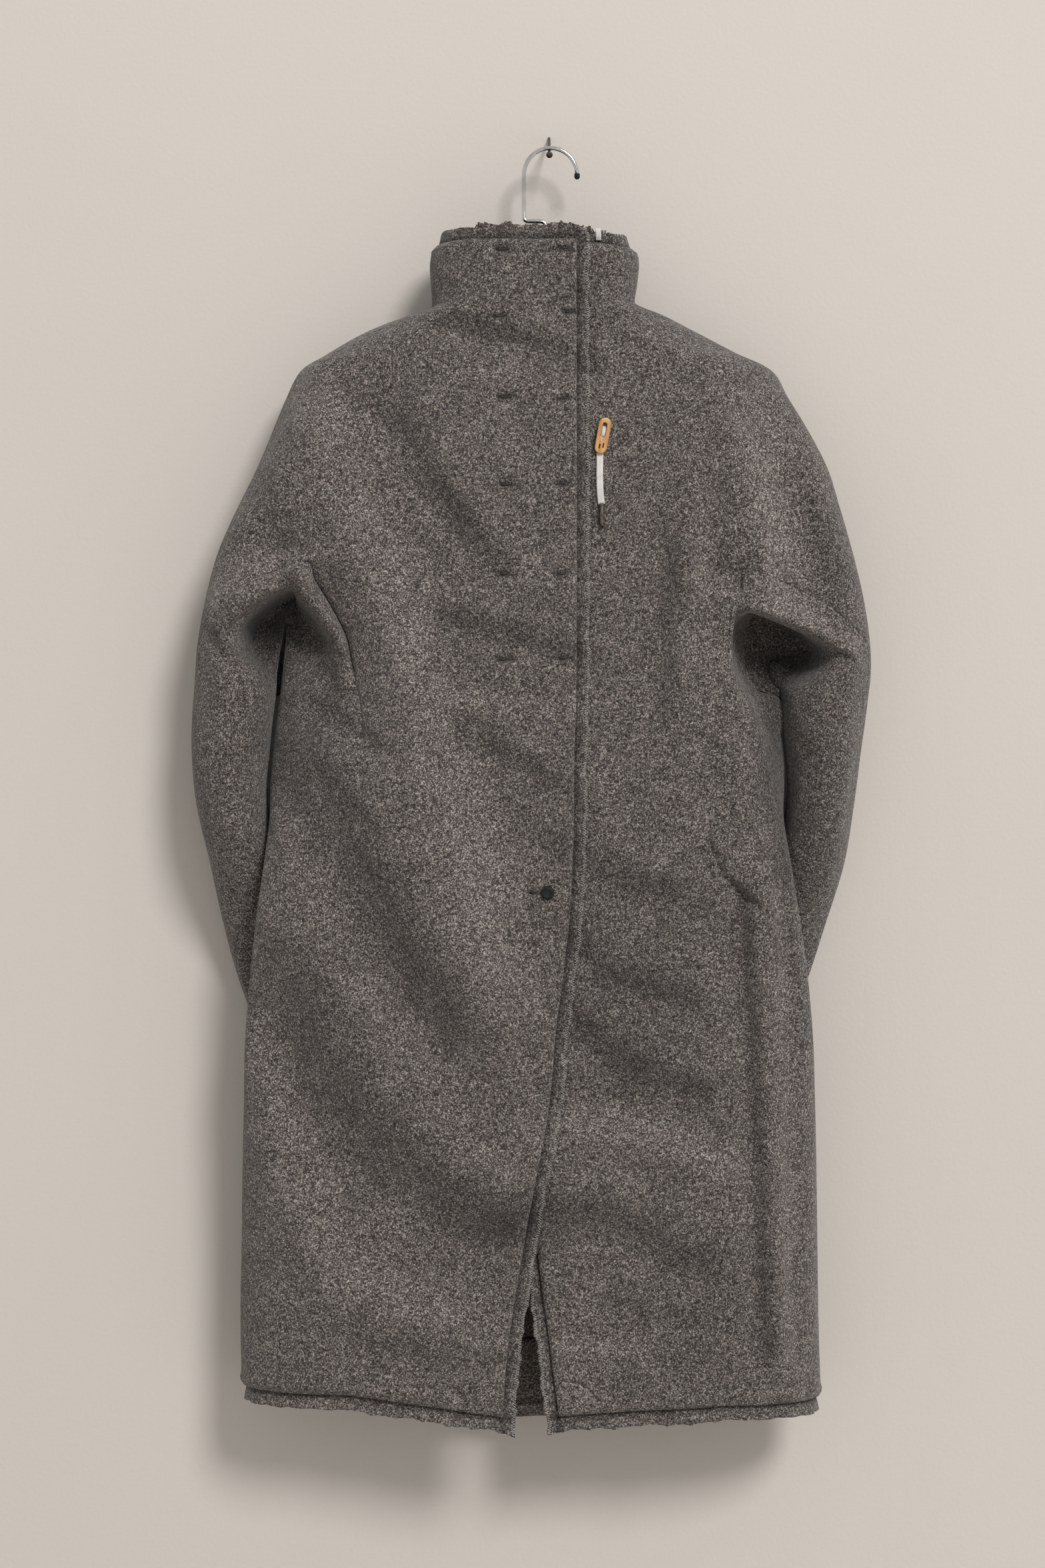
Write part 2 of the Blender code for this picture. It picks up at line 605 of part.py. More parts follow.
def side_grid(side):
    """Side panel with under-sleeve: rows from the cuff up, over the armpit and down to the hem."""
    front_p, front_n, _ = front_grid(side)
    back_p, back_n = back_half(side)
    seam_row = len(V_ROWS) - 1
    rings = len(SLEEVE[side]["z"])
    rows = []
    ends = []
    for k in range(rings - 1, -1, -1):
        seam = SLEEVE[side]["seam"][k]
        p, n = sleeve_ring(side, k, np.radians(np.linspace(seam, 360 - seam, 9)))
        rows.append(p)
        ends.append((n[0], n[-1]))
    tuck = TUCK[side]
    side_tab = SIDE[side]
    quarter = np.radians([22.5, 45, 67.5])
    for k in range(len(side_tab["z"]) + SLEEVE_COL - ARM_COL):
        if k < SLEEVE_COL - ARM_COL:
            place = (seam_row, SLEEVE_COL - k)
        else:
            place = (seam_row + k - (SLEEVE_COL - ARM_COL), ARM_COL)
        start, end = front_p[place], back_p[place]
        if k < len(tuck["rim_x"]):
            inner = [
                (tuck[key + "_x"][k] * MM, -tuck[key + "_h"][k] * MM, tuck[key + "_z"][k] * MM)
                for key in ("rim", "lip", "pit")
            ]
            middle_h = 56 + 5 * ramp(k, 8, 12)
            middle = (tuck["m_x"][k] * MM, -middle_h * MM, tuck["m_z"][k] * MM)
        else:
            t = k - (SLEEVE_COL - ARM_COL)
            middle = (side_tab["m_x"][t] * MM, -side_tab["m_h"][t] * MM, side_tab["m_z"][t] * MM)
            centre = (start[0], middle[1], (start[2] + middle[2]) / 2)
            inner = arc(start, middle, centre, quarter)
        centre = (end[0], middle[1], (end[2] + middle[2]) / 2)
        behind = arc(end, middle, centre, quarter)[::-1]
        rows.append(np.vstack([start, inner, middle, behind, end]))
        ends.append((front_n[place], back_n[place]))
    points = np.array(rows)
    normals = row_normal(points, -SIGN[side])
    for k, (first, last) in enumerate(ends):
        normals[k, 0] = first
        normals[k, -1] = last
    cells = np.ones((len(points) - 1, 8), bool)
    return points, normals, cells


def smooth_normals(normals, keep_columns=(0, -1), passes=2):
    """Eases a grid's normals so that a folded wall doesn't cross itself, but for its seam columns."""
    out = normals.copy()
    for _ in range(passes):
        eased = out.copy()
        around = out[:-2, 1:-1] + out[2:, 1:-1] + out[1:-1, :-2] + out[1:-1, 2:]
        eased[1:-1, 1:-1] = out[1:-1, 1:-1] * 2 + around
        out = unit(eased)
    for c in keep_columns:
        out[:, c] = normals[:, c]
    return out


def inner_front(side):
    """Inner layer of a front where it shows, in one piece: collar, front edge and hem.

    Its grid is the front's own with a column beyond the edge and a row beyond the collar's top and the hem.
    """
    w = np.concatenate([[0], flats(side), np.ones(6)])
    theta = np.concatenate([np.zeros(9), TURN])
    past = np.zeros(len(w))
    past[0] = EDGE_OUT
    v = np.append(0, V_ROWS)
    rise = np.zeros(len(v))
    rise[0] = HEM_OUT
    last = len(SIDE[side]["z"]) - 1
    t = np.append(np.arange(1, last + 1), last)
    drop = np.zeros(len(t))
    drop[-1] = HEM_OUT
    low = ARM_COL + 2
    points = np.zeros((len(v) + len(t), len(w), 3))
    normals = np.zeros(points.shape)
    normals[..., 1] = -1
    points[: len(v)], normals[: len(v)] = cap(
        side, w[None, :], theta[None, :], v[:, None], rise[:, None], past[None, :]
    )
    points[len(v):, :low], normals[len(v):, :low] = skirt(
        side, w[None, :low], t[:, None], drop[:, None], past[None, :low]
    )
    points = points - normals * (CLOTH + PLY_GAP) * MM
    cells = np.zeros((len(points) - 1, len(w) - 1), bool)
    cells[:COLLAR_ROWS] = True
    cells[:, :2] = True
    cells[-2:, : low - 1] = True
    return points, normals, cells


def inner_back():
    """Inner layer lining the back's collar, one row higher than it."""
    points, normals, _ = back_grid()
    points, normals = points[:COLLAR_ROWS], normals[:COLLAR_ROWS]
    points = np.concatenate([points[:1] + np.array([0, 0, HEM_OUT * MM]), points])
    normals = np.concatenate([normals[:1], normals])
    return points - normals * (CLOTH + PLY_GAP) * MM, normals


def inner_back_hem():
    """Inner layer along the hem of the back and of both side panels, between the fronts' seams."""
    parts = []
    for side in ("right", "left"):
        p, n, _ = side_grid(side)
        parts.append((p[-2:], smooth_normals(n)[-2:]))
    back_p, back_n, _ = back_grid()
    last = LAST_COL - ARM_COL
    (right_p, right_n), (left_p, left_n) = parts
    points = np.concatenate([right_p[:, :-1], back_p[-2:, last:-last], left_p[:, -2::-1]], 1)
    normals = np.concatenate([right_n[:, :-1], back_n[-2:, last:-last], left_n[:, -2::-1]], 1)
    points = np.concatenate([points, points[1:] - np.array([0, 0, HEM_OUT * MM])])
    normals = np.concatenate([normals, normals[1:]])
    return points - normals * (CLOTH + PLY_GAP) * MM, normals


def tube(name, route, diameter, material):
    """A closed tube along a route of points in metres."""
    curve = bpy.data.curves.new(name, "CURVE")
    curve.dimensions = "3D"
    curve.bevel_depth = diameter * MM / 2
    curve.bevel_resolution = 3
    curve.use_fill_caps = True
    spline = curve.splines.new("POLY")
    spline.points.add(len(route) - 1)
    for point, place in zip(spline.points, route):
        point.co = (*place, 1.0)
    curve.materials.append(material)
    obj = bpy.data.objects.new(name, curve)
    bpy.context.scene.collection.objects.link(obj)
    return obj


def turned(name, profile, start, axis, material, segments=20):
    """A body turned about an axis: profile rows are (distance along it, radius) in mm."""
    along = Vector(axis).normalized()
    side = along.orthogonal().normalized()
    other = along.cross(side)
    vertices = []
    faces = []
    for d, r in profile:
        for k in range(segments):
            a = 2 * math.pi * k / segments
            spoke = side * math.cos(a) + other * math.sin(a)
            vertices.append(Vector(start) + (along * d + spoke * r) * MM)
    rings = len(profile)
    for j in range(rings - 1):
        for k in range(segments):
            n = (k + 1) % segments
            low, high = j * segments, (j + 1) * segments
            faces.append((low + k, low + n, high + n, high + k))
    faces.append(tuple(reversed(range(segments))))
    faces.append(tuple(range((rings - 1) * segments, rings * segments)))
    return new_object(name, vertices, faces, material)


def nail(steel):
    """Nail through the origin, sloping down towards the viewer, with a domed head."""
    a = math.radians(NAIL_SLOPE)
    axis = (0, -math.cos(a), -math.sin(a))
    start = tuple(-c * NAIL_IN * MM for c in axis)
    length = NAIL_IN + NAIL_OUT
    r = NAIL_DIAMETER / 2
    head = NAIL_HEAD / 2
    profile = [
        (0, 0.3), (5, r), (length, r), (length + 0.01, head), (length + 0.8, head),
        (length + 1.4, head * 0.8), (length + 1.7, head * 0.4),
    ]
    return turned("nail", profile, start, axis, steel, 16)


def hook_route():
    """Centre line of the hook's wire: tip, arc, shank, foot and down to the hanger."""
    cx, cz = HOOK_TOP
    points = [(cx + HOOK_RADIUS * math.cos(a), cz + HOOK_RADIUS * math.sin(a)) for a in np.radians(
        np.linspace(3, 180, 17))]
    left = cx - HOOK_RADIUS
    points += [(left, cz - d) for d in (11, 21, 31)]
    points += [(left + 4 * (1 - math.cos(a)), -78.2 - 4 * math.sin(a)) for a in np.radians((20, 45, 70, 90))]
    points += [(left + 9, -82.2), (left + 14, -82.2)]
    points += [(left + 15 + 5 * math.sin(a), -87.2 + 5 * math.cos(a)) for a in np.radians((20, 45, 70, 90))]
    points += [(left + 20, z) for z in (-100, -120, -140, -151.9)]
    return [(x * MM, -HOOK_H * MM, z * MM) for x, z in points]


def hanger(plastic):
    """Plain shaped hanger inside the shoulders: a rounded bar that falls to both ends."""
    middle = (CAP["left"]["out_x"][5] + CAP["right"]["out_x"][5]) / 2
    xs = np.linspace(-1, 1, 17) * HANGER_SPAN + middle
    away = np.abs(xs - middle)
    tops = -152.3 - 12 * ramp(away, 20, 80) - 0.42 * np.maximum(away - 50, 0)
    tops = tops - 0.0004 * np.maximum(away - 110, 0) ** 2
    tall = HANGER_TALL * (1 - 0.35 * ramp(away, 120, HANGER_SPAN))
    vertices = []
    faces = []
    section = [
        (0, 0.5), (0.45, 0.28), (0.5, 0), (0.45, -0.28), (0, -0.5), (-0.45, -0.28), (-0.5, 0), (-0.45, 0.28),
    ]
    count = len(section)
    for x, top, t in zip(xs, tops, tall):
        for across, up in section:
            vertices.append((x * MM, (-HOOK_H + across * HANGER_THICK) * MM, (top - t / 2 + up * t) * MM))
    for j in range(len(xs) - 1):
        for k in range(count):
            n = (k + 1) % count
            faces.append((j * count + k, (j + 1) * count + k, (j + 1) * count + n, j * count + n))
    faces.append(tuple(range(count)))
    faces.append(tuple(reversed(range((len(xs) - 1) * count, len(xs) * count))))
    return new_object("hanger", vertices, faces, plastic)


def front_surface(side, x, z):
    """The front's distance from the wall at a place on its flat."""
    rows = np.interp(-z, -CAP[side]["lap_z"], np.arange(len(CAP[side]["lap_z"])))
    above = z > CAP[side]["lap_z"][-1]
    plain = np.where(above, at(CAP[side], "front_h", rows), by_height(BODY, "front_h", z))
    return float(settle(side, x, z, plain))


def slab(name, outline, back_h, thick, material, hole=None, edge=0.6):
    """A flat body facing the viewer: an outline of (x, z), thick out from back_h, its front edge softened.

    A hole is a second outline with as many points, cut right through.
    """
    outline = np.asarray(outline, float)
    centre = outline.mean(0)
    inward = centre - outline
    inward = inward / np.linalg.norm(inward, axis=1, keepdims=True)
    rings = [(outline, back_h), (outline, back_h + thick - edge), (outline + inward * edge, back_h + thick)]
    if hole is not None:
        hole = np.asarray(hole, float)
        rings += [(hole, back_h + thick), (hole, back_h)]
    count = len(outline)
    vertices = [(x * MM, -h * MM, z * MM) for ring, h in rings for x, z in ring]
    faces = []
    loops = len(rings)
    for j in range(loops if hole is not None else loops - 1):
        a, b = j * count, (j + 1) % loops * count
        for k in range(count):
            n = (k + 1) % count
            faces.append((a + k, a + n, b + n, b + k))
    if hole is None:
        faces.append(tuple(reversed(range(count))))
        faces.append(tuple(range((loops - 1) * count, loops * count)))
    return new_object(name, vertices, faces, material)


def pill(centre, long, wide, lean, steps=6):
    """Outline of a bar with round ends, leaning by degrees."""
    straight = (long - wide) / 2
    points = []
    for end, start in ((1, 0), (-1, 180)):
        for a in np.radians(np.linspace(start, start + 180, steps)):
            points.append((wide / 2 * math.cos(a), end * straight + wide / 2 * math.sin(a)))
    turn = math.radians(lean)
    cos, sin = math.cos(turn), math.sin(turn)
    return [(centre[0] + x * cos + z * sin, centre[1] - x * sin + z * cos) for x, z in points]


def ribbon(name, route, wide, thick, material):
    """A flat lace: its cross-section carried down a route of (x, z, h)."""
    route = np.asarray(route, float)
    vertices = []
    for x, z, h in route:
        for dx, dh in ((-0.5, 0), (0.5, 0), (0.5, 1), (-0.5, 1)):
            vertices.append(((x + dx * wide) * MM, -(h + dh * thick) * MM, z * MM))
    faces = [(3, 2, 1, 0), tuple(4 * (len(route) - 1) + k for k in (0, 1, 2, 3))]
    for j in range(len(route) - 1):
        for k in range(4):
            n = (k + 1) % 4
            faces.append((4 * j + k, 4 * j + n, 4 * (j + 1) + n, 4 * (j + 1) + k))
    return new_object(name, vertices, faces, material)


def trims(wood, white, dark, metal):
    """Snap cap, toggle, the lace below it with its tip, and the lace's loop at the collar."""
    x, z = SNAP
    h = front_surface("right", x, z) + SNAP_SEAT
    profile = [(0, 5.2), (0.5, 5.8), (1.6, 5.4), (2.3, 3.6)]
    turned("snap", profile, (x * MM, -h * MM, z * MM), (0, -1, 0), dark, 24)
    x, z = TOGGLE
    h = front_surface("left", x, z) + TOGGLE_SEAT
    slab(
        "toggle", pill(TOGGLE, *TOGGLE_SIZE[:2], TOGGLE_LEAN), h, TOGGLE_SIZE[2], wood,
        pill((x + 0.9, z + 5.0), 13, 4, TOGGLE_LEAN), 1.2,
    )
    route = [(x + dx, z + dz, front_surface("left", x + dx, z + dz) + lift) for dx, dz, lift in LACE_ROUTE]
    ribbon("lace", route, LACE_WIDE, LACE_THICK, white)
    x, z, h = route[-1]
    turned(
        "lace_tip", [(0, 2.1), (0.4, 2.35), (18.6, 2.35), (19, 2.1)],
        (x * MM, -(h + 2.4) * MM, (z - 0.3) * MM), (0.02, -0.02, -1), metal, 14,
    )
    x, z, h = NECK_LACE
    ribbon("neck_lace", [(x, z, h), (x + 0.3, z - 5, h), (x + 0.2, z - 10, h)], 4.6, LACE_THICK, white)


def main():
    for old in list(bpy.data.objects):
        bpy.data.objects.remove(old)
    wool = make_material("grey_wool", (0.18, 0.17, 0.16), 0.95)
    steel = make_material("dark_steel", (0.06, 0.05, 0.05), 0.45, 0.8)
    chrome = make_material("chrome_wire", (0.55, 0.53, 0.5), 0.2, 1.0)
    plastic = make_material("hanger_plastic", (0.05, 0.05, 0.05), 0.5)
    wood = make_material("honey_wood", (0.55, 0.3, 0.12), 0.5)
    white = make_material("white_lace", (0.8, 0.79, 0.76), 0.8)
    dark = make_material("black_cap", (0.02, 0.02, 0.018), 0.4)
    metal = make_material("lace_metal", (0.12, 0.1, 0.09), 0.35, 0.8)
    for side in ("right", "left"):
        p, n, cells = front_grid(side)
        walled("front_" + side, p, n, cells, CLOTH, wool, flip=side == "right")
        p, n, cells = side_grid(side)
        walled("side_" + side, p, smooth_normals(n), cells, CLOTH, wool, flip=side == "right")
        p, n, cells = inner_front(side)
        walled("inner_front_" + side, p, n, cells, INNER_CLOTH, wool, flip=side == "right")
    p, n, cells = back_grid()
    walled("back", p, n, cells, CLOTH, wool, flip=True)
    for name, (p, n) in (("inner_back_collar", inner_back()), ("inner_back_hem", inner_back_hem())):
        cells = np.ones((p.shape[0] - 1, p.shape[1] - 1), bool)
        walled(name, p, n, cells, INNER_CLOTH, wool, gap=LINING_SEAM_GAP, flip=True)
    nail(steel)
    route = hook_route()
    tube("hook_wire", route, WIRE, chrome)
    x, y, z = route[0]
    profile = [(0, 2.5), (3.2, 2.5), (4.4, 1.8), (4.9, 0.8)]
    turned("hook_tip", profile, (x, y, z - 0.5 * MM), (0, 0, -1), dark, 16)
    hanger(plastic)
    trims(wood, white, dark, metal)


main()
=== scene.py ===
import math
import bmesh
import bpy
import numpy as np
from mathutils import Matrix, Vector


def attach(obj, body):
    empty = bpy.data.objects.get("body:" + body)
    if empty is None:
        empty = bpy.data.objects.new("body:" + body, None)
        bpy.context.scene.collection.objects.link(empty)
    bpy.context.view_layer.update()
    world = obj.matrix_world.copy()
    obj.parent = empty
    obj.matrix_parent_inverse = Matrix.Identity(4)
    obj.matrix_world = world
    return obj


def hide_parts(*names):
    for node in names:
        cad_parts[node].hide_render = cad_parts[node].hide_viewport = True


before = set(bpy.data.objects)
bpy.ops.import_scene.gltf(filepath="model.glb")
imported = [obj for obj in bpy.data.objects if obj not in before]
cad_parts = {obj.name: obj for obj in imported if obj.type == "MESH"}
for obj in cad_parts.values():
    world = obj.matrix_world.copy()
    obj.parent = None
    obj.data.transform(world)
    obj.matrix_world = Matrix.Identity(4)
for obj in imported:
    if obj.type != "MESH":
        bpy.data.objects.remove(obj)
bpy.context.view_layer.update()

mm = 0.001
print("coat: frame loaded")

# camera at the photo's angle
cameraSet = dict(place=(-0.0242, -2.6, -0.589), focal=65.4, tall=36.0)
cameraData = bpy.data.cameras.new("photoCamera")
cameraData.sensor_fit = "VERTICAL"
cameraData.sensor_height = cameraSet["tall"]
cameraData.lens = cameraSet["focal"]
cameraObject = bpy.data.objects.new("photoCamera", cameraData)
cameraObject.location = cameraSet["place"]
cameraObject.rotation_euler = (math.pi / 2, 0, 0)
bpy.context.scene.collection.objects.link(cameraObject)
bpy.context.scene.camera = cameraObject


def rows(names, values):
    # named columns of a short table, in millimetres
    return dict(zip(names.split(), np.array(values, float).T))


def readRow(tab, name, t):
    # a column at a fractional row: cubic Hermite, slopes from the rows on each side
    column = tab[name]
    last = len(column) - 1
    t = np.clip(np.asarray(t, float), 0, last)
    i = np.minimum(t.astype(int), last - 1)
    f = t - i
    slope = np.gradient(column)
    return (column[i] * (2 * f**3 - 3 * f**2 + 1) + slope[i] * (f**3 - 2 * f**2 + f)
            + column[i + 1] * (3 * f**2 - 2 * f**3) + slope[i + 1] * (f**3 - f**2))


def readHeight(tab, name, z):
    # the same, asked by height: rows run down the coat
    return readRow(tab, name, np.interp(-np.asarray(z, float), -tab["z"], np.arange(len(tab["z"]))))


def ramp(x, low, high):
    # smooth step 3f^2 - 2f^3 from 0 at low to 1 at high
    f = np.clip((np.asarray(x, float) - low) / (high - low), 0, 1)
    return f * f * (3 - 2 * f)


def unit(v):
    # vectors over their lengths
    return v / np.maximum(np.linalg.norm(v, axis=-1, keepdims=True), 1e-12)

# collar, shoulder and upper sleeve, row by row down to the under-sleeve seam
capTable = {}
capTable["right"] = rows("lapZ outX outZ outH frontH backH round turn", [
    (-110, -103, -110, 55, 99, 16, 42, 20), (-125, -107, -125, 55, 99, 16, 42, 25),
    (-145, -106, -147, 53, 98, 15, 42, 45), (-163, -107, -165, 48, 98, 14, 42, 80),
    (-172, -127, -171, 42, 98, 13, 55, 90), (-182, -163, -184, 40, 99, 12, 75, 90),
    (-196, -206, -209, 40, 100, 12, 85, 90), (-210, -226, -223, 42, 101, 12, 80, 90),
    (-228, -238, -249, 45, 103, 12, 70, 90), (-262, -261, -309, 50, 107, 11, 60, 90),
    (-300, -281, -352, 54, 110, 11, 55, 90), (-332, -297, -390, 56, 111, 11, 50, 90),
    (-358, -308, -434, 58, 111, 12, 48, 90), (-375, -314, -471, 60, 111, 12, 46, 90),
])
capTable["left"] = rows("lapZ outX outZ outH frontH backH round turn", [
    (-110, 76, -113, 55, 99, 16, 42, 37), (-125, 80, -125, 55, 99, 16, 42, 40),
    (-145, 78, -146, 53, 98, 15, 42, 55), (-163, 78, -160, 48, 98, 14, 42, 85),
    (-172, 99, -168, 42, 98, 13, 55, 90), (-182, 131, -184, 40, 99, 12, 75, 90),
    (-196, 170, -205, 40, 100, 12, 85, 90), (-210, 202, -222, 42, 101, 12, 80, 90),
    (-228, 214, -244, 45, 103, 12, 70, 90), (-262, 246, -303, 50, 107, 11, 60, 90),
    (-300, 262, -355, 54, 110, 11, 55, 90), (-335, 274, -400, 56, 111, 11, 50, 90),
    (-362, 283, -445, 58, 111, 12, 48, 90), (-380, 286.5, -483, 60, 111, 12, 46, 90),
])
# side panel, armpit to hem: front seam, valley, outermost line, back seam
sideTable = {}
sideTable["right"] = rows("z seamX valley mX mZ mH backX", [
    (-394, -218, 5, -234, -436, 56, -218), (-412, -205, 17, -232, -446, 56, -210),
    (-432, -193, 22, -232, -458, 57, -201), (-455, -181, 24, -233, -473, 57, -191),
    (-480, -175, 25, -235, -490, 58, -183), (-505, -170, 22, -237, -509, 59, -178),
    (-535, -165, 15, -241, -536, 61, -174), (-570, -164, 9, -245, -570, 64, -172),
    (-610, -165, 4, -248, -610, 70, -172), (-655, -167, 1, -252, -655, 86, -172),
    (-700, -169, 0, -258, -700, 92, -172), (-750, -170, 0, -264, -750, 92, -172),
    (-810, -171, 0, -269, -808, 86, -173), (-870, -172, 0, -271, -866, 76, -174),
    (-935, -173, 0, -273, -929, 69, -175), (-1000, -174, 0, -274, -993, 67, -176),
    (-1070, -175, 0, -275, -1062, 67, -177), (-1126, -176, 0, -274, -1121, 67, -178),
])
sideTable["left"] = rows("z seamX valley mX mZ mH backX", [
    (-401, 175, 4, 181, -450, 56, 175), (-414, 168, 4, 173, -457, 56, 170),
    (-434, 163, 4, 167, -466, 57, 166), (-456, 160, 4, 164, -477, 57, 162),
    (-480, 159, 4, 166, -489, 58, 160), (-505, 158, 3, 177, -510, 60, 158),
    (-535, 158, 2, 193, -537, 62, 156), (-570, 158, 1, 202, -570, 64, 154),
    (-610, 158, 0, 206, -610, 70, 152), (-655, 158, 0, 212, -655, 86, 150),
    (-700, 158, 0, 219, -700, 92, 150), (-750, 158, 0, 226, -750, 92, 150),
    (-810, 158, 0, 232, -809, 86, 150), (-870, 157, 0, 235, -868, 76, 150),
    (-935, 156, 0, 237, -932, 69, 149), (-1000, 155, 0, 238, -997, 67, 148),
    (-1070, 154, 0, 239, -1067, 67, 147), (-1134, 153, 0, 241, -1131, 67, 146),
])
# arch of folded cloth over the armpit: rim, lip, pit and middle
tuckTable = {}
tuckTable["right"] = rows("rimX rimZ rimH lipX lipZ lipH pitX pitZ pitH mX mZ", [
    (-296, -462, 96, -282, -471, 97, -261, -483, 74, -244, -489),
    (-291, -453, 99, -279, -462, 95, -264, -473.2, 60, -243.5, -483),
    (-283, -444, 103, -274, -452, 95, -265.5, -460, 52, -243, -476),
    (-273, -434, 106, -267, -443, 97, -261.4, -449, 48, -242, -467),
    (-261, -425, 109, -257, -434, 99, -253, -439.6, 46, -240, -457),
    (-244, -415, 110, -242, -423, 100, -241.2, -428.2, 46, -238, -446),
    (-227, -408, 107, -229, -418, 98, -230, -421.6, 46, -234, -436),
    (-214, -420, 101, -221, -427, 94, -223.4, -430.6, 48, -232, -446),
    (-201, -437, 98, -208, -441, 89, -213.2, -444.6, 56, -232, -458),
    (-188, -458, 95, -195, -461, 85, -203, -463.8, 66, -233, -473),
    (-182, -482, 90, -193, -483, 84, -215, -487, 74, -235, -490),
    (-178, -506, 89, -195, -507, 85, -217, -508, 80, -237, -509),
    (-178, -535, 97, -198, -536, 90, -222, -536, 82, -241, -536),
])
tuckTable["left"] = rows("rimX rimZ rimH lipX lipZ lipH pitX pitZ pitH mX mZ", [
    (269, -475, 95, 253, -485, 97, 225, -495, 74, 205, -498),
    (262, -467, 98, 250, -476, 96, 229.8, -484.2, 60, 204, -491),
    (253, -460, 102, 245, -469, 96, 232.5, -474, 52, 203, -483),
    (243, -453, 105, 237, -463, 97, 228.2, -466.2, 48, 201, -482),
    (230, -447, 108, 225, -457, 98, 218.6, -459.4, 46, 198, -497),
    (205, -437, 109, 203, -448, 99, 200.6, -450.4, 46, 192, -506),
    (178, -428, 108, 180, -440, 100, 180.4, -442.4, 46, 181, -510),
    (168, -430, 105, 169, -442, 94, 169.8, -445.2, 48, 173, -508),
    (161, -442, 101, 162, -450, 89, 162.8, -453.6, 56, 167, -504),
    (159, -460, 99, 160, -465, 88, 160.8, -467.8, 66, 164, -508),
    (159.5, -482, 100, 161, -484, 90, 163, -487, 74, 166, -520),
    (164, -506, 104, 171, -507, 94, 175, -509, 80, 177, -510),
    (170, -535, 108, 181, -536, 99, 189, -537, 82, 193, -537),
])
# oval rings below the seam: outer x, half width, depth from the wall, half depth, seam in degrees
sleeveTable = {}
sleeveTable["right"] = rows("z outX half h halfH seam", [
    (-507, -317.5, 36.5, 56, 43, 38), (-531, -319.5, 36, 56, 44, 50), (-559, -320, 35, 55, 44, 62),
    (-604, -316, 32, 53, 43, 56), (-650, -306, 31, 46, 37, 50), (-698, -297, 37, 33, 26, 50),
    (-742, -286, 43, 27, 20, 55), (-780, -273, 48, 24, 18, 60), (-812, -261, 51, 23, 17, 60),
])
sleeveTable["left"] = rows("z outX half h halfH seam", [
    (-514, 284, 38.5, 56, 43, 26), (-536, 281, 36.5, 56, 44, 20), (-561, 277.5, 33.5, 55, 44, 16),
    (-604, 272, 30, 53, 43, 14), (-650, 265.5, 31.5, 46, 37, 14), (-698, 252.5, 38, 33, 26, 14),
    (-742, 239, 44, 27, 20, 14), (-780, 226, 49, 24, 18, 14), (-812, 215, 52, 23, 17, 14),
])
# the fronts' edges and the depths of front and back, by height
bodyTable = rows("z lap under frontH backH seamHR seamHL", [
    (-90, 23, -50, 111, 12, 12, 12), (-375, 23, -53, 111, 12, 12, 12), (-505, 22.5, -53, 114, 12, 16, 16),
    (-560, 21, -53, 116, 14, 22, 22), (-620, 20, -53, 117, 17, 42, 42), (-685, 18, -50, 118, 22, 60, 60),
    (-755, 11, -46, 119, 26, 58, 58), (-812, 4, -40, 119, 27, 51, 51), (-883, -3, -28, 119, 28, 41, 41),
    (-956, -17, -14, 119, 29, 37, 37), (-1019, -28, -9, 119, 31, 35, 35), (-1079, -37, 0, 120, 33, 34, 34),
    (-1150, -43, 9, 121, 34, 34, 34),
])

# how the cloth hangs
clothSet = dict(outer=3.0, inner=2.0, plyGap=0.3, step=3.4, crown=7.0, lapDrop=7.5,
                edgeOut=11.0, hemOut=13.0, backDrop=105.0, backHem=-1145.0, middleX=-12.0)
sides = ("right", "left")
sign = dict(right=-1, left=1)
armpitShare = dict(right=0.822, left=0.776)   # where the armpit lies across the flat width
bendOf = dict(right=(0.40, 3.5), left=(0.48, 3.3))   # a row's fall at the flat's end, and its power
hemOf = dict(right=(-1140, -1122), left=(-1141, -1131))   # at the front edge and at the side seam
capLine = np.array([0, 1, 1.5, 2, 2.4, 2.75, 3.1, 3.5, 4, 5, 6, 7, 8, 8.6, 9.2, 9.8, 10.4, 11, 11.6, 12.3,
                    13])   # rows of the cap tables that the nets take
flatLine = (0.0, 0.18, 0.37, 0.56, 0.76)
turnLine = np.radians([15, 30, 45, 60, 75, 90])
armCol, sleeveCol, lastCol, seamRow = 5, 11, 13, 20
columnW = {s: np.array([f * armpitShare[s] for f in flatLine]
                       + [armpitShare[s], (1 + armpitShare[s]) / 2] + [1.0] * 7) for s in sides}
columnTheta = np.append(np.zeros(8), turnLine)


def settle(side, x, h):
    # front depth less its crown ((x + 10) / 250)^2, and less the lap's step on the under front
    h = h - clothSet["crown"] * ((x + 10) / 250) ** 2
    return h - clothSet["lapDrop"] * (1 - ramp(x, 45, 130)) if side == "left" else h


def fall(side, w, theta):
    # share of a row's fall at its outer end: bend * w^power on the flat, then straight round the turn
    bend, power = bendOf[side]
    return np.where(theta > 0, bend + (1 - bend) * theta / (math.pi / 2), bend * np.clip(w, 0, 1) ** power)


def capPoints(side, w, theta, v):
    # front above the seam: x runs from the lap's edge to the turn and on as its sine, depth as its cosine
    tab, s = capTable[side], sign[side]
    outX, outZ, outH, turnR = (readRow(tab, n, v) for n in ("outX", "outZ", "outH", "round"))
    top = readRow(tab, "lapZ", v)
    angle = theta * readRow(tab, "turn", v) / 90
    z = top + (outZ - top) * fall(side, w, theta)
    turnX = outX - s * turnR
    start = readHeight(bodyTable, "lap" if side == "right" else "under", z)
    flatX = start + (turnX - start) * w
    x = np.where(theta > 0, turnX + s * turnR * np.sin(angle), flatX)
    deep = settle(side, np.where(theta > 0, turnX, x), readRow(tab, "frontH", v))
    h = np.where(theta > 0, outH + (deep - outH) * np.cos(angle), deep)
    return np.stack(np.broadcast_arrays(x, -h, z), -1)


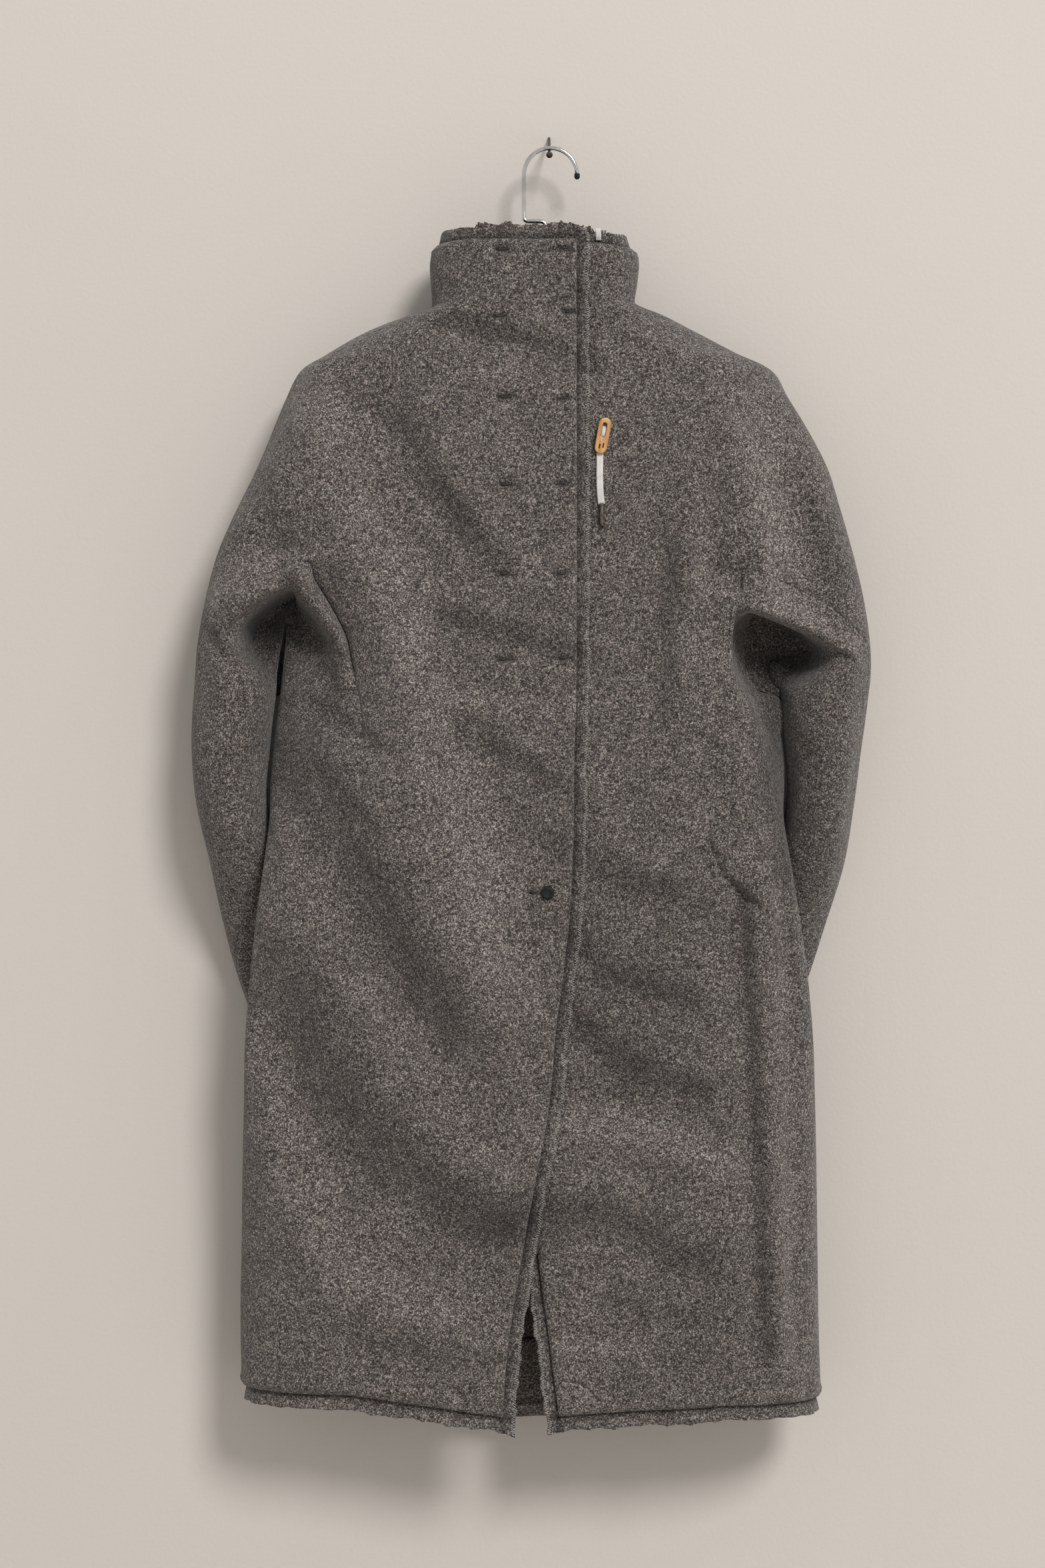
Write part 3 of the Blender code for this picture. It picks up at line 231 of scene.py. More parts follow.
def skirtPoints(side, w, t):
    # front below the armpit: rows slide from the armpit's row to the hem, their ends on the side panel's seam
    arm = armpitShare[side]
    share = w / arm
    tab, cap = sideTable[side], capTable[side]
    armpitZ = cap["lapZ"][-1] + (cap["outZ"][-1] - cap["lapZ"][-1]) * fall(side, arm, 0)
    first = cap["lapZ"][-1] + (cap["outZ"][-1] - cap["lapZ"][-1]) * fall(side, w, 0)
    frontHem, sideHem = hemOf[side]
    down = (armpitZ - readRow(tab, "z", t)) / (armpitZ - tab["z"][-1])
    z = first + (frontHem + (sideHem - frontHem) * share - first) * down
    start = readHeight(bodyTable, "lap" if side == "right" else "under", z)
    x = start + (readRow(tab, "seamX", t) - start) * share
    dip = readRow(tab, "valley", t) * ramp(share, 0.78, 1) ** 1.5
    return np.stack([x, dip - settle(side, x, readHeight(bodyTable, "frontH", z)), z], -1)


def ringPoints(side, k, phi):
    # sleeve ring k: an oval square to the sleeve's run; phi is 0 outside and 90 degrees in front
    tab, s = sleeveTable[side], sign[side]
    middle = tab["outX"] - s * tab["half"]
    lean = (np.gradient(middle) / np.gradient(tab["z"]))[k]
    reach = s * tab["half"][k] * np.cos(phi) / np.hypot(1, lean)
    return np.stack([middle[k] + reach, -(tab["h"][k] + tab["halfH"][k] * np.sin(phi)),
                     tab["z"][k] - reach * lean], -1)


def frontNet(side):
    # coarse net of a front: 21 rows to the seam, then 17 of the skirt and, outside, 9 of the sleeve
    net = np.zeros((seamRow + 18, lastCol + 1, 3))
    net[:seamRow + 1] = capPoints(side, columnW[side][None], columnTheta[None], capLine[:, None])
    t = np.arange(1, 18)[:, None]
    net[seamRow + 1:, :armCol + 1] = skirtPoints(side, columnW[side][None, :armCol + 1], t)
    for k, seam in enumerate(sleeveTable[side]["seam"]):
        net[seamRow + 1 + k, sleeveCol:] = ringPoints(side, k, np.radians(np.linspace(seam, 0, 3)))
    return net


def backNet(side):
    # the same net for half the back: rows dip by backDrop towards the middle, the turn comes round behind
    tab, s = capTable[side], sign[side]
    w, theta, v = columnW[side][None], columnTheta[None], capLine[:, None]
    outX, outZ, outH, turnR = (readRow(tab, n, v) for n in ("outX", "outZ", "outH", "round"))
    backH, top = readRow(tab, "backH", v), readRow(tab, "lapZ", v)
    deep = settle(side, outX - s * turnR, readRow(tab, "frontH", v))
    psi = theta / (math.pi / 2) * (math.pi - np.radians(readRow(tab, "turn", v)))
    drop = clothSet["backDrop"] * ramp(v, 7, 13) * (1 - theta / (math.pi / 2)) ** 2
    z = top + (outZ - top) * fall(side, w, theta) - drop
    turnX = outX - s * turnR
    middle = clothSet["middleX"]
    x = np.where(theta > 0, turnX + s * turnR * np.sin(psi), middle + (turnX - middle) * w)
    swing = np.where(psi > math.pi / 2, deep - outH, outH - backH)
    h = np.where(theta > 0, outH - swing * np.cos(psi), backH)
    net = np.zeros((seamRow + 18, lastCol + 1, 3))
    net[:seamRow + 1] = np.stack(np.broadcast_arrays(x, -h, z), -1)
    panel = sideTable[side]
    t = np.arange(1, 18)[:, None]
    share = (columnW[side][:armCol + 1] / armpitShare[side])[None]
    seamZ = readRow(panel, "z", t)
    low = (panel["z"][0] - seamZ) / (panel["z"][0] - panel["z"][-1])
    middleTop = tab["lapZ"][-1] - clothSet["backDrop"]
    middleZ = middleTop + (clothSet["backHem"] - middleTop) * low
    seamZ = seamZ - clothSet["backDrop"] * (1 - ramp(t, 0, 9))
    z = middleZ + (seamZ - middleZ) * share**2
    x = middle + (readRow(panel, "backX", t) - middle) * share
    seamH = readHeight(bodyTable, "seamHR" if side == "right" else "seamHL", seamZ)
    middleH = readHeight(bodyTable, "backH", seamZ)
    h = middleH + (seamH - middleH) * ramp(share, 0.25, 1)
    net[seamRow + 1:, :armCol + 1] = np.stack(np.broadcast_arrays(x, -h, z), -1)
    for k, seam in enumerate(sleeveTable[side]["seam"]):
        net[seamRow + 1 + k, sleeveCol:] = ringPoints(side, k, -np.radians(np.linspace(seam, 0, 3)))
    return net


def quarterOval(start, middle, centre):
    # three points between start and middle: start cos a + middle sin a + centre (1 - sin a - cos a)
    a = np.radians([22.5, 45, 67.5])[:, None]
    rest = 1 - np.sin(a) - np.cos(a)
    return np.asarray(middle) * np.sin(a) + np.asarray(start) * np.cos(a) + centre * rest


def sideNet(side, front, back):
    # side panel with under-sleeve: rows from the cuff up the sleeve, over the armpit and down to the hem
    tab, tuck, panel = sleeveTable[side], tuckTable[side], sideTable[side]
    net = []
    for k in range(8, -1, -1):
        net.append(ringPoints(side, k, np.radians(np.linspace(tab["seam"][k], 360 - tab["seam"][k], 9))))
    for k in range(24):
        place = (seamRow, sleeveCol - k) if k < 6 else (seamRow + k - 6, armCol)
        start, end = front[place], back[place]
        if k < 13:
            inner = [(tuck[n + "X"][k], -tuck[n + "H"][k], tuck[n + "Z"][k]) for n in ("rim", "lip", "pit")]
            middle = np.array([tuck["mX"][k], -56 - 5 * ramp(k, 8, 12), tuck["mZ"][k]])
        else:
            middle = np.array([panel["mX"][k - 6], -panel["mH"][k - 6], panel["mZ"][k - 6]])
            inner = quarterOval(start, middle, np.array([start[0], middle[1], (start[2] + middle[2]) / 2]))
        behind = quarterOval(end, middle, np.array([end[0], middle[1], (end[2] + middle[2]) / 2]))[::-1]
        net.append(np.vstack([start, inner, middle, behind, end]))
    return np.array(net)


# from coarse nets to fine cloth
def spline(values, knots, fine):
    # cubic Hermite along the first axis, slopes by finite differences over uneven knots
    slope = np.gradient(values, knots, axis=0)
    i = np.clip(np.searchsorted(knots, fine, side="right") - 1, 0, len(knots) - 2)
    width = (knots[i + 1] - knots[i]).reshape((-1,) + (1,) * (values.ndim - 1))
    f = (fine - knots[i]).reshape(width.shape) / width
    return (values[i] * (2 * f**3 - 3 * f**2 + 1) + slope[i] * width * (f**3 - 2 * f**2 + f)
            + values[i + 1] * (3 * f**2 - 2 * f**3) + slope[i + 1] * width * (f**3 - f**2))


def across(values, knots, fine):
    # the same spline along the second axis
    return np.swapaxes(spline(np.swapaxes(values, 0, 1), knots, fine), 0, 1)


def splits(lengths):
    # even number of fine cells in each coarse one
    return 2 * np.maximum(1, np.ceil(np.asarray(lengths) / clothSet["step"] / 2)).astype(int)


fronts = {s: frontNet(s) for s in sides}
backs = {s: backNet(s) for s in sides}
panels = {s: sideNet(s, fronts[s], backs[s]) for s in sides}


def netLengths(net, axis):
    # distance from each point to the next along one axis
    return np.linalg.norm(np.diff(net, axis=axis), axis=-1)


rowLength = np.max([netLengths(fronts[s][:, :armCol + 1], 0).mean(1) for s in sides], 0)
ringLength = np.max([netLengths(fronts[s][seamRow:seamRow + 10, sleeveCol:], 0).mean(1) for s in sides], 0)
capLength = np.max([netLengths(fronts[s][:seamRow + 1, armCol:], 0).mean(1) for s in sides], 0)
rowLength[seamRow:seamRow + 9] = np.maximum(rowLength[seamRow:seamRow + 9], ringLength)
rowLength[:seamRow] = np.maximum(rowLength[:seamRow], capLength)
rowSplit = splits(rowLength)
colSplit = splits(np.max([netLengths(fronts[s][6:seamRow + 1], 1).mean(0) for s in sides], 0))
sideSplit = np.concatenate([rowSplit[seamRow:seamRow + 9][::-1], colSplit[armCol:sleeveCol][::-1],
                            rowSplit[seamRow:]])
sideColSplit = np.full(8, 8)


def knotsOf(cells):
    # running sum of the fine cells, from 0
    return np.concatenate([[0.0], np.cumsum(cells)])


rowKnots, colKnots = knotsOf(rowSplit), knotsOf(colSplit)
seamPath = {}   # for each fineness, the seam's places (row, column) in a front's or back's fine grid


def fineFront(net, edge, every=1):
    # each coarse column is drawn down its rows, then each fine row across; the seam then takes the panel's
    # line, its shift fading inward by (1 - d / reach)^2
    rowFine, colFine = np.arange(0, rowKnots[-1] + 1, every), np.arange(0, colKnots[-1] + 1, every)
    capFine = rowFine[rowFine <= rowKnots[seamRow]]
    ringFine = rowFine[rowFine <= rowKnots[seamRow + 9]]
    nCap, nRing = len(capFine), len(ringFine)
    nArm = int(colKnots[armCol] / every)
    nSleeve = int(colKnots[sleeveCol] / every)
    body = spline(net[:, :armCol + 1], rowKnots, rowFine)
    arm = spline(net[:seamRow + 1, armCol + 1:sleeveCol], rowKnots[:seamRow + 1], capFine)
    strip = spline(net[:seamRow + 10, sleeveCol:], rowKnots[:seamRow + 10], ringFine)
    grid = np.zeros((len(rowFine), len(colFine), 3))
    grid[:nCap] = across(np.concatenate([body[:nCap], arm, strip[:nCap]], 1), colKnots, colFine)
    grid[nCap:, :nArm + 1] = across(body[nCap:], colKnots[:armCol + 1], colFine[:nArm + 1])
    grid[nCap:nRing, nSleeve:] = across(strip[nCap:], colKnots[sleeveCol:], colFine[nSleeve:])
    r = nCap - 1
    path = np.array([(i, nSleeve) for i in range(nRing - 1, r, -1)]
                    + [(r, i) for i in range(nSleeve, nArm, -1)]
                    + [(i, nArm) for i in range(r, len(rowFine))])
    seamPath[every] = path
    shift = edge - grid[path[:, 0], path[:, 1]]
    reach = 9 // every
    n1, n2 = nRing - 1 - r, nSleeve - nArm
    for d in range(reach):
        f = (1 - d / reach) ** 2
        grid[path[:n1, 0], path[:n1, 1] + d] += shift[:n1] * f
        grid[path[n1:n1 + n2, 0] - d, path[n1:n1 + n2, 1]] += shift[n1:n1 + n2] * f
        grid[path[n1 + n2:, 0], path[n1 + n2:, 1] - d] += shift[n1 + n2:] * f
    cells = np.zeros((len(rowFine) - 1, len(colFine) - 1), bool)
    cells[:r] = True
    cells[r:, :nArm] = True
    cells[r:nRing - 1, nSleeve:] = True
    return grid, cells


def finePanel(net):
    # the panel's net drawn down its rows, then across
    sideKnots = knotsOf(sideSplit)
    acrossKnots = knotsOf(sideColSplit)
    grid = spline(net, sideKnots, np.arange(0, sideKnots[-1] + 1))
    return across(grid, acrossKnots, np.arange(0, acrossKnots[-1] + 1))


def normalsOf(grid, outward):
    # cross product of the two grid directions
    return unit(np.cross(np.gradient(grid, axis=1), np.gradient(grid, axis=0))) * outward


# shader formulas
class Socket:
    # wraps a node's output, so that sums of sockets read as formulas
    def __init__(self, tree, out):
        self.tree, self.out = tree, out

    def maths(self, operation, other, reverse=False):
        # one Math node; reverse puts the plain number first, for formulas that begin with it
        values = (other, self) if reverse else (self, other)
        return self.tree.make("ShaderNodeMath", dict(operation=operation), *values)

    def __add__(self, other): return self.maths("ADD", other)
    def __radd__(self, other): return self.maths("ADD", other, True)
    def __sub__(self, other): return self.maths("SUBTRACT", other)
    def __rsub__(self, other): return self.maths("SUBTRACT", other, True)
    def __mul__(self, other): return self.maths("MULTIPLY", other)
    def __rmul__(self, other): return self.maths("MULTIPLY", other, True)


class Finish:
    # one material: make() adds any node, from its type, its settings, and its sockets' values or links
    def __init__(self, name):
        self.material = bpy.data.materials.new(name)
        self.material.use_nodes = True
        self.nodes = self.material.node_tree.nodes
        self.links = self.material.node_tree.links
        self.shader = self.nodes["Principled BSDF"]
        self.place = self.make("ShaderNodeTexCoord", {}, output="Object")

    def put(self, socket, value):
        # a link from another node's output, or a plain value
        if isinstance(value, Socket):
            self.links.new(value.out, socket)
        else:
            socket.default_value = value

    def make(self, kind, settings, *values, output=0, **named):
        # values go to the sockets in order, None leaves one alone; named ones go to the sockets so named
        node = self.nodes.new(kind)
        for key, value in settings.items():
            setattr(node, key, value)
        for socket, value in zip(node.inputs, values):
            if value is not None:
                self.put(socket, value)
        for key, value in named.items():
            self.put(node.inputs[key], value)
        return Socket(self, node.outputs[output])

    def noise(self, scale, detail=2.0, rough=0.5, stretch=None, shift=(0, 0, 0)):
        # noise of 0 to 1 over the object's own place, stretched or moved if asked
        at = self.place
        if stretch or any(shift):
            at = self.make("ShaderNodeMapping", {}, self.place, Location=shift, Scale=stretch or (1, 1, 1))
        return self.make("ShaderNodeTexNoise", {}, Vector=at, Scale=scale, Detail=detail, Roughness=rough)

    def mix(self, factor, a, b):
        # colour mix: sockets 6 and 7 are the colours of a Mix node in RGBA mode, output 2 the colour
        a, b = ((*value, 1.0) if isinstance(value, tuple) else value for value in (a, b))
        return self.make("ShaderNodeMix", dict(data_type="RGBA"), factor, *[None] * 5, a, b, output=2)

    def between(self, value, low, high, start=0.0, end=1.0):
        # smooth map of value from low..high to start..end
        return self.make("ShaderNodeMapRange", dict(interpolation_type="SMOOTHSTEP"), value, low, high, start,
                         end)

    def bump(self, height, strength, distance, under=None):
        # bumped normal, on top of another one if given
        values = dict(Height=height, Strength=strength, Distance=distance)
        if under:
            values["Normal"] = under
        return self.make("ShaderNodeBump", {}, **values)

    def finish(self, **values):
        # values or links of the surface shader's sockets, an underscore for each space in a name
        for key, value in values.items():
            self.put(self.shader.inputs[key.replace("_", " ")], value)
        return self.material


# room and light
roomSet = dict(floor=-1.75, wallColour=(0.60, 0.56, 0.52), floorColour=(0.6, 0.58, 0.55),
               wide=4.0, top=2.2, near=-5.0, far=3.0,   # how far the wall and floor reach
               keyAim=(0, -0.05, -0.6), keyWay=(0.5, -1.0, 0.78), keyFar=10.0, keySize=2.9, keyPower=700.0,
               keyColour=(1.0, 0.985, 0.965), skyColour=(1.0, 0.985, 0.97, 1), skyStrength=0.55)


def placed(name, data):
    # new object in the scene
    obj = bpy.data.objects.new(name, data)
    bpy.context.scene.collection.objects.link(obj)
    return obj


def plane(name, corners, material):
    # one flat quad of the room
    mesh = bpy.data.meshes.new(name)
    mesh.from_pydata(corners, [], [(0, 1, 2, 3)])
    mesh.materials.append(material)
    placed(name, mesh)


def wallFinish():
    # painted plaster: faint roller texture and a few smudges; nothing shows from behind
    f = Finish("paintedWall")
    tint = f.between(f.noise(1.3, 3.0), 0.35, 0.7)
    colour = f.mix(tint, roomSet["wallColour"], tuple(c * 0.975 for c in roomSet["wallColour"]))
    f.finish(Base_Color=colour, Roughness=0.9, Specular_IOR_Level=0.2,
             Normal=f.bump(f.noise(260.0, 3.0), 0.12, 0.002))
    clear = f.make("ShaderNodeBsdfTransparent", {})
    behind = f.make("ShaderNodeNewGeometry", {}, output="Backfacing")
    shown = f.make("ShaderNodeMixShader", {}, behind, Socket(f, f.shader.outputs[0]), clear)
    f.put(f.nodes["Material Output"].inputs["Surface"], shown)
    return f.material


floorFinish = Finish("paleFloor")
floorFinish.finish(Base_Color=floorFinish.mix(floorFinish.noise(3.0, 4.0), roomSet["floorColour"],
                                              tuple(c * 0.94 for c in roomSet["floorColour"])), Roughness=0.8)
low, top, wide, near, far = (roomSet[k] for k in ("floor", "top", "wide", "near", "far"))
plane("wall", [(-wide, 0, low), (wide, 0, low), (wide, 0, top), (-wide, 0, top)], wallFinish())
plane("floor", [(-wide, near, low), (wide, near, low), (wide, far, low), (-wide, far, low)],
      floorFinish.material)


def areaLight(name, place, target, size, power, colour):
    # round area light turned to its target
    data = bpy.data.lights.new(name, "AREA")
    data.shape, data.size, data.energy, data.color = "DISK", size, power, colour
    obj = placed(name, data)
    obj.location = place
    obj.rotation_euler = (Vector(target) - Vector(place)).to_track_quat("-Z", "Y").to_euler()


keyPlace = Vector(roomSet["keyAim"]) + Vector(roomSet["keyWay"]).normalized() * roomSet["keyFar"]
areaLight("key", keyPlace, roomSet["keyAim"], roomSet["keySize"], roomSet["keyPower"], roomSet["keyColour"])
world = bpy.data.worlds.new("room")
world.use_nodes = True
world.node_tree.nodes["Background"].inputs[0].default_value = roomSet["skyColour"]
world.node_tree.nodes["Background"].inputs[1].default_value = roomSet["skyStrength"]
bpy.context.scene.world = world
bpy.context.scene.view_settings.view_transform = "Standard"
print("coat: room and light set")


# the coat's wool
woolSet = dict(dark=(0.022, 0.0195, 0.0185), mid=(0.114, 0.1, 0.0935), light=(0.40, 0.36, 0.335),
               warm=(0.15, 0.10, 0.075),
               # noise scales to the metre, and how much of each makes the level
               fleck=740.0, fleckShare=0.56, fibre=1500.0, fibreShare=0.36, cloud=40.0, cloudShare=0.05,
               blotch=210.0, blotchShare=0.12, base=0.035,
               midAt=(0.41, 0.505), lightAt=(0.51, 0.60),   # levels over which the mid and light tones set in
               warmSpots=330.0, warmAt=(0.53, 0.68), warmMost=0.3,
               pits=430.0, pitAt=(0.59, 0.68), pitMost=0.85,
               bumps=[(150.0, (4, 4, 4), 0.004), (34.0, (6, 2, 8), 0.008)],   # scale, shift, height in metres
               painted_light_shade=1.1, tone=0.93,   # how far the painted light and shade lighten or darken, and the whole cloth's tone
               rough=0.95, gloss=0.2, sheen=0.22, sheenRough=0.5, sheenTint=(0.9, 0.88, 0.86, 1))


def woolFinish():
    # marl: light and dark flecks about a millimetre across, sparse dark pits, slow clouds, and a napped bump
    f, k = Finish("grayMarlWool"), woolSet
    fleck = f.noise(k["fleck"], 3.0, 0.65, (1.0, 1.0, 0.8))
    small = f.noise(k["fibre"], 2.0, 0.6, (1.0, 1.0, 0.6), (3, 1, 2))
    cloud = f.noise(k["cloud"], 3.0, 0.55, shift=(1, 2, 5))
    blotch = f.noise(k["blotch"], 2.0, 0.5, shift=(3, 8, 1))
    level = (fleck * k["fleckShare"] + small * k["fibreShare"] + (cloud - 0.5) * k["cloudShare"]
             + (blotch - 0.5) * k["blotchShare"] + k["base"])
    base = f.mix(f.between(level, *k["midAt"]), k["dark"], k["mid"])
    base = f.mix(f.between(level, *k["lightAt"]), base, k["light"])
    warm = f.between(f.noise(k["warmSpots"], 2.0, 0.5, shift=(7, 3, 1)), *k["warmAt"], 0.0, k["warmMost"])
    base = f.mix(warm, base, f.mix(0.5, base, k["warm"]))
    pit = f.between(f.noise(k["pits"], 1.0, 0.5, shift=(2, 9, 4)), *k["pitAt"])
    base = f.mix(pit * k["pitMost"], base, k["dark"])
    # painted light and shade: a per-point attribute makes the base colour lighter and darker along fold
    # streaks and patches, and darker under the arms, at the buttonholes and where the inner layer leaves the
    # outer one
    painted_light_shade = f.make("ShaderNodeAttribute", dict(attribute_name="painted_light_shade"), output=2)
    base = f.make("ShaderNodeVectorMath", dict(operation="SCALE"), base,
                  Scale=(painted_light_shade * k["painted_light_shade"] + 1.0) * k["tone"])
    relief = f.bump(fleck * 0.6 + small * 0.4 - pit * 0.3, 0.8, 0.0016)
    for scale, shift, height in k["bumps"]:
        relief = f.bump(f.noise(scale, 2.0, 0.5, shift=shift), 0.4, height, relief)
    return f.finish(Base_Color=base, Roughness=k["rough"], Specular_IOR_Level=k["gloss"],
                    Sheen_Weight=k["sheen"], Sheen_Roughness=k["sheenRough"], Sheen_Tint=k["sheenTint"],
                    Normal=relief)


wool = woolFinish()


# meshes
def newPiece(name, points, faces, material, flat=0, shade=None):
    # points in millimetres; faces is a list of index arrays, three or four columns each; the last flat ones
    # are shaded plain, so that a cut edge leaves its neighbours' shading alone
    mesh = bpy.data.meshes.new(name)
    mesh.from_pydata((np.asarray(points) * mm).tolist(), [], [q for f in faces for q in f.tolist()])
    mesh.materials.append(material)
    mesh.polygons.foreach_set("use_smooth", np.arange(len(mesh.polygons)) < len(mesh.polygons) - flat)
    # wool carries a per-point attribute of painted light and shade; any shade given, painted shade at the
    # inner layer's edges, is added to its first points
    if material is wool:
        painted_light_shade = paintedLightShadeAt(np.asarray(points))
        if shade is not None:
            painted_light_shade[:len(shade)] += shade
        mesh.attributes.new("painted_light_shade", "FLOAT", "POINT").data.foreach_set("value", painted_light_shade)
    obj = placed(name, mesh)
    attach(obj, "root")
    return obj


def ringFaces(count, total, turned=False, closed=False):
    # faces between rings of count points, then a fan at both ends to the two points after the last ring;
    # closed joins the last ring to the first instead, turned makes the faces look the other way
    k, j = np.meshgrid(np.arange(count), np.arange(total if closed else total - 1))
    n, after = (k + 1) % count, (j + 1) % total
    quads = np.stack([j * count + k, after * count + k, after * count + n, j * count + n], -1)
    faces = [quads.reshape(-1, 4)]
    if not closed:
        k = np.arange(count)
        n, last, tips = (k + 1) % count, (total - 1) * count, np.full(count, total * count)
        faces += [np.stack([k, n, tips], 1), np.stack([last + n, last + k, tips + 1], 1)]
    return [np.roll(q[:, ::-1], 1, 1) for q in faces] if turned else faces


def cornersOf(cells):
    # grid points that belong to at least one used cell
    used = np.zeros((cells.shape[0] + 1, cells.shape[1] + 1), bool)
    for dr in (0, 1):
        for dc in (0, 1):
            used[dr:dr + cells.shape[0], dc:dc + cells.shape[1]] |= cells
    return used


def wallOf(name, grid, normals, cells, thick, flip=False, gap=0.2, bulge=0.35, shade=None):
    # closed wall: outer points, the same moved in along the normals, and a rounded edge of three strips
    shape, used = grid.shape[:2], cornersOf(cells)
    index = np.full(shape, -1)
    index[used] = np.arange(used.sum())
    r, c = np.nonzero(cells)
    quads = np.stack([index[r, c], index[r + 1, c], index[r + 1, c + 1], index[r, c + 1]], 1)
    padded = np.pad(cells, 1)
    pull = np.zeros(grid.shape)
    starts, ends = [], []
    # each border of a cell: its neighbour, its two corners in order, and the step into the cloth
    for nr, nc, a, b, into in ((1, 0, (0, 0), (1, 0), (0, 1)), (2, 1, (1, 0), (1, 1), (-1, 0)),
                               (1, 2, (1, 1), (0, 1), (0, -1)), (0, 1, (0, 1), (0, 0), (1, 0))):
        rr, cc = np.nonzero(cells & ~padded[nr:nr + cells.shape[0], nc:nc + cells.shape[1]])
        for q in (a, b):
            at = (rr + q[0], cc + q[1])
            np.add.at(pull, at, unit(grid[rr + q[0] + into[0], cc + q[1] + into[1]] - grid[at]))
        starts.append(index[rr + a[0], cc + a[1]])
        ends.append(index[rr + b[0], cc + b[1]])
    starts, ends = np.concatenate(starts), np.concatenate(ends)
    pull = unit(pull)[used]
    top, inward = grid[used] + pull * gap, normals[used]
    thick = (np.zeros(shape) + thick)[used][:, None]
    bottom = top - inward * thick
    count = len(top)
    rim = np.unique(starts)
    place = np.full(count, -1)
    place[rim] = np.arange(len(rim))
    rings = [top[rim] - inward[rim] * thick[rim] * d - pull[rim] * bulge for d in (0.22, 0.78)]
    levels = [np.arange(count), np.where(place >= 0, 2 * count + place, 0),
              np.where(place >= 0, 2 * count + len(rim) + place, 0), np.arange(count) + count]
    faces = [quads, quads[:, ::-1] + count]
    for up, down in zip(levels[:-1], levels[1:]):
        faces.append(np.stack([up[ends], up[starts], down[starts], down[ends]], 1))
    if flip:
        faces = [q[:, ::-1] for q in faces]
    return newPiece(name, np.vstack([top, bottom] + rings), faces, wool, 3 * len(starts),
                    None if shade is None else shade[used])


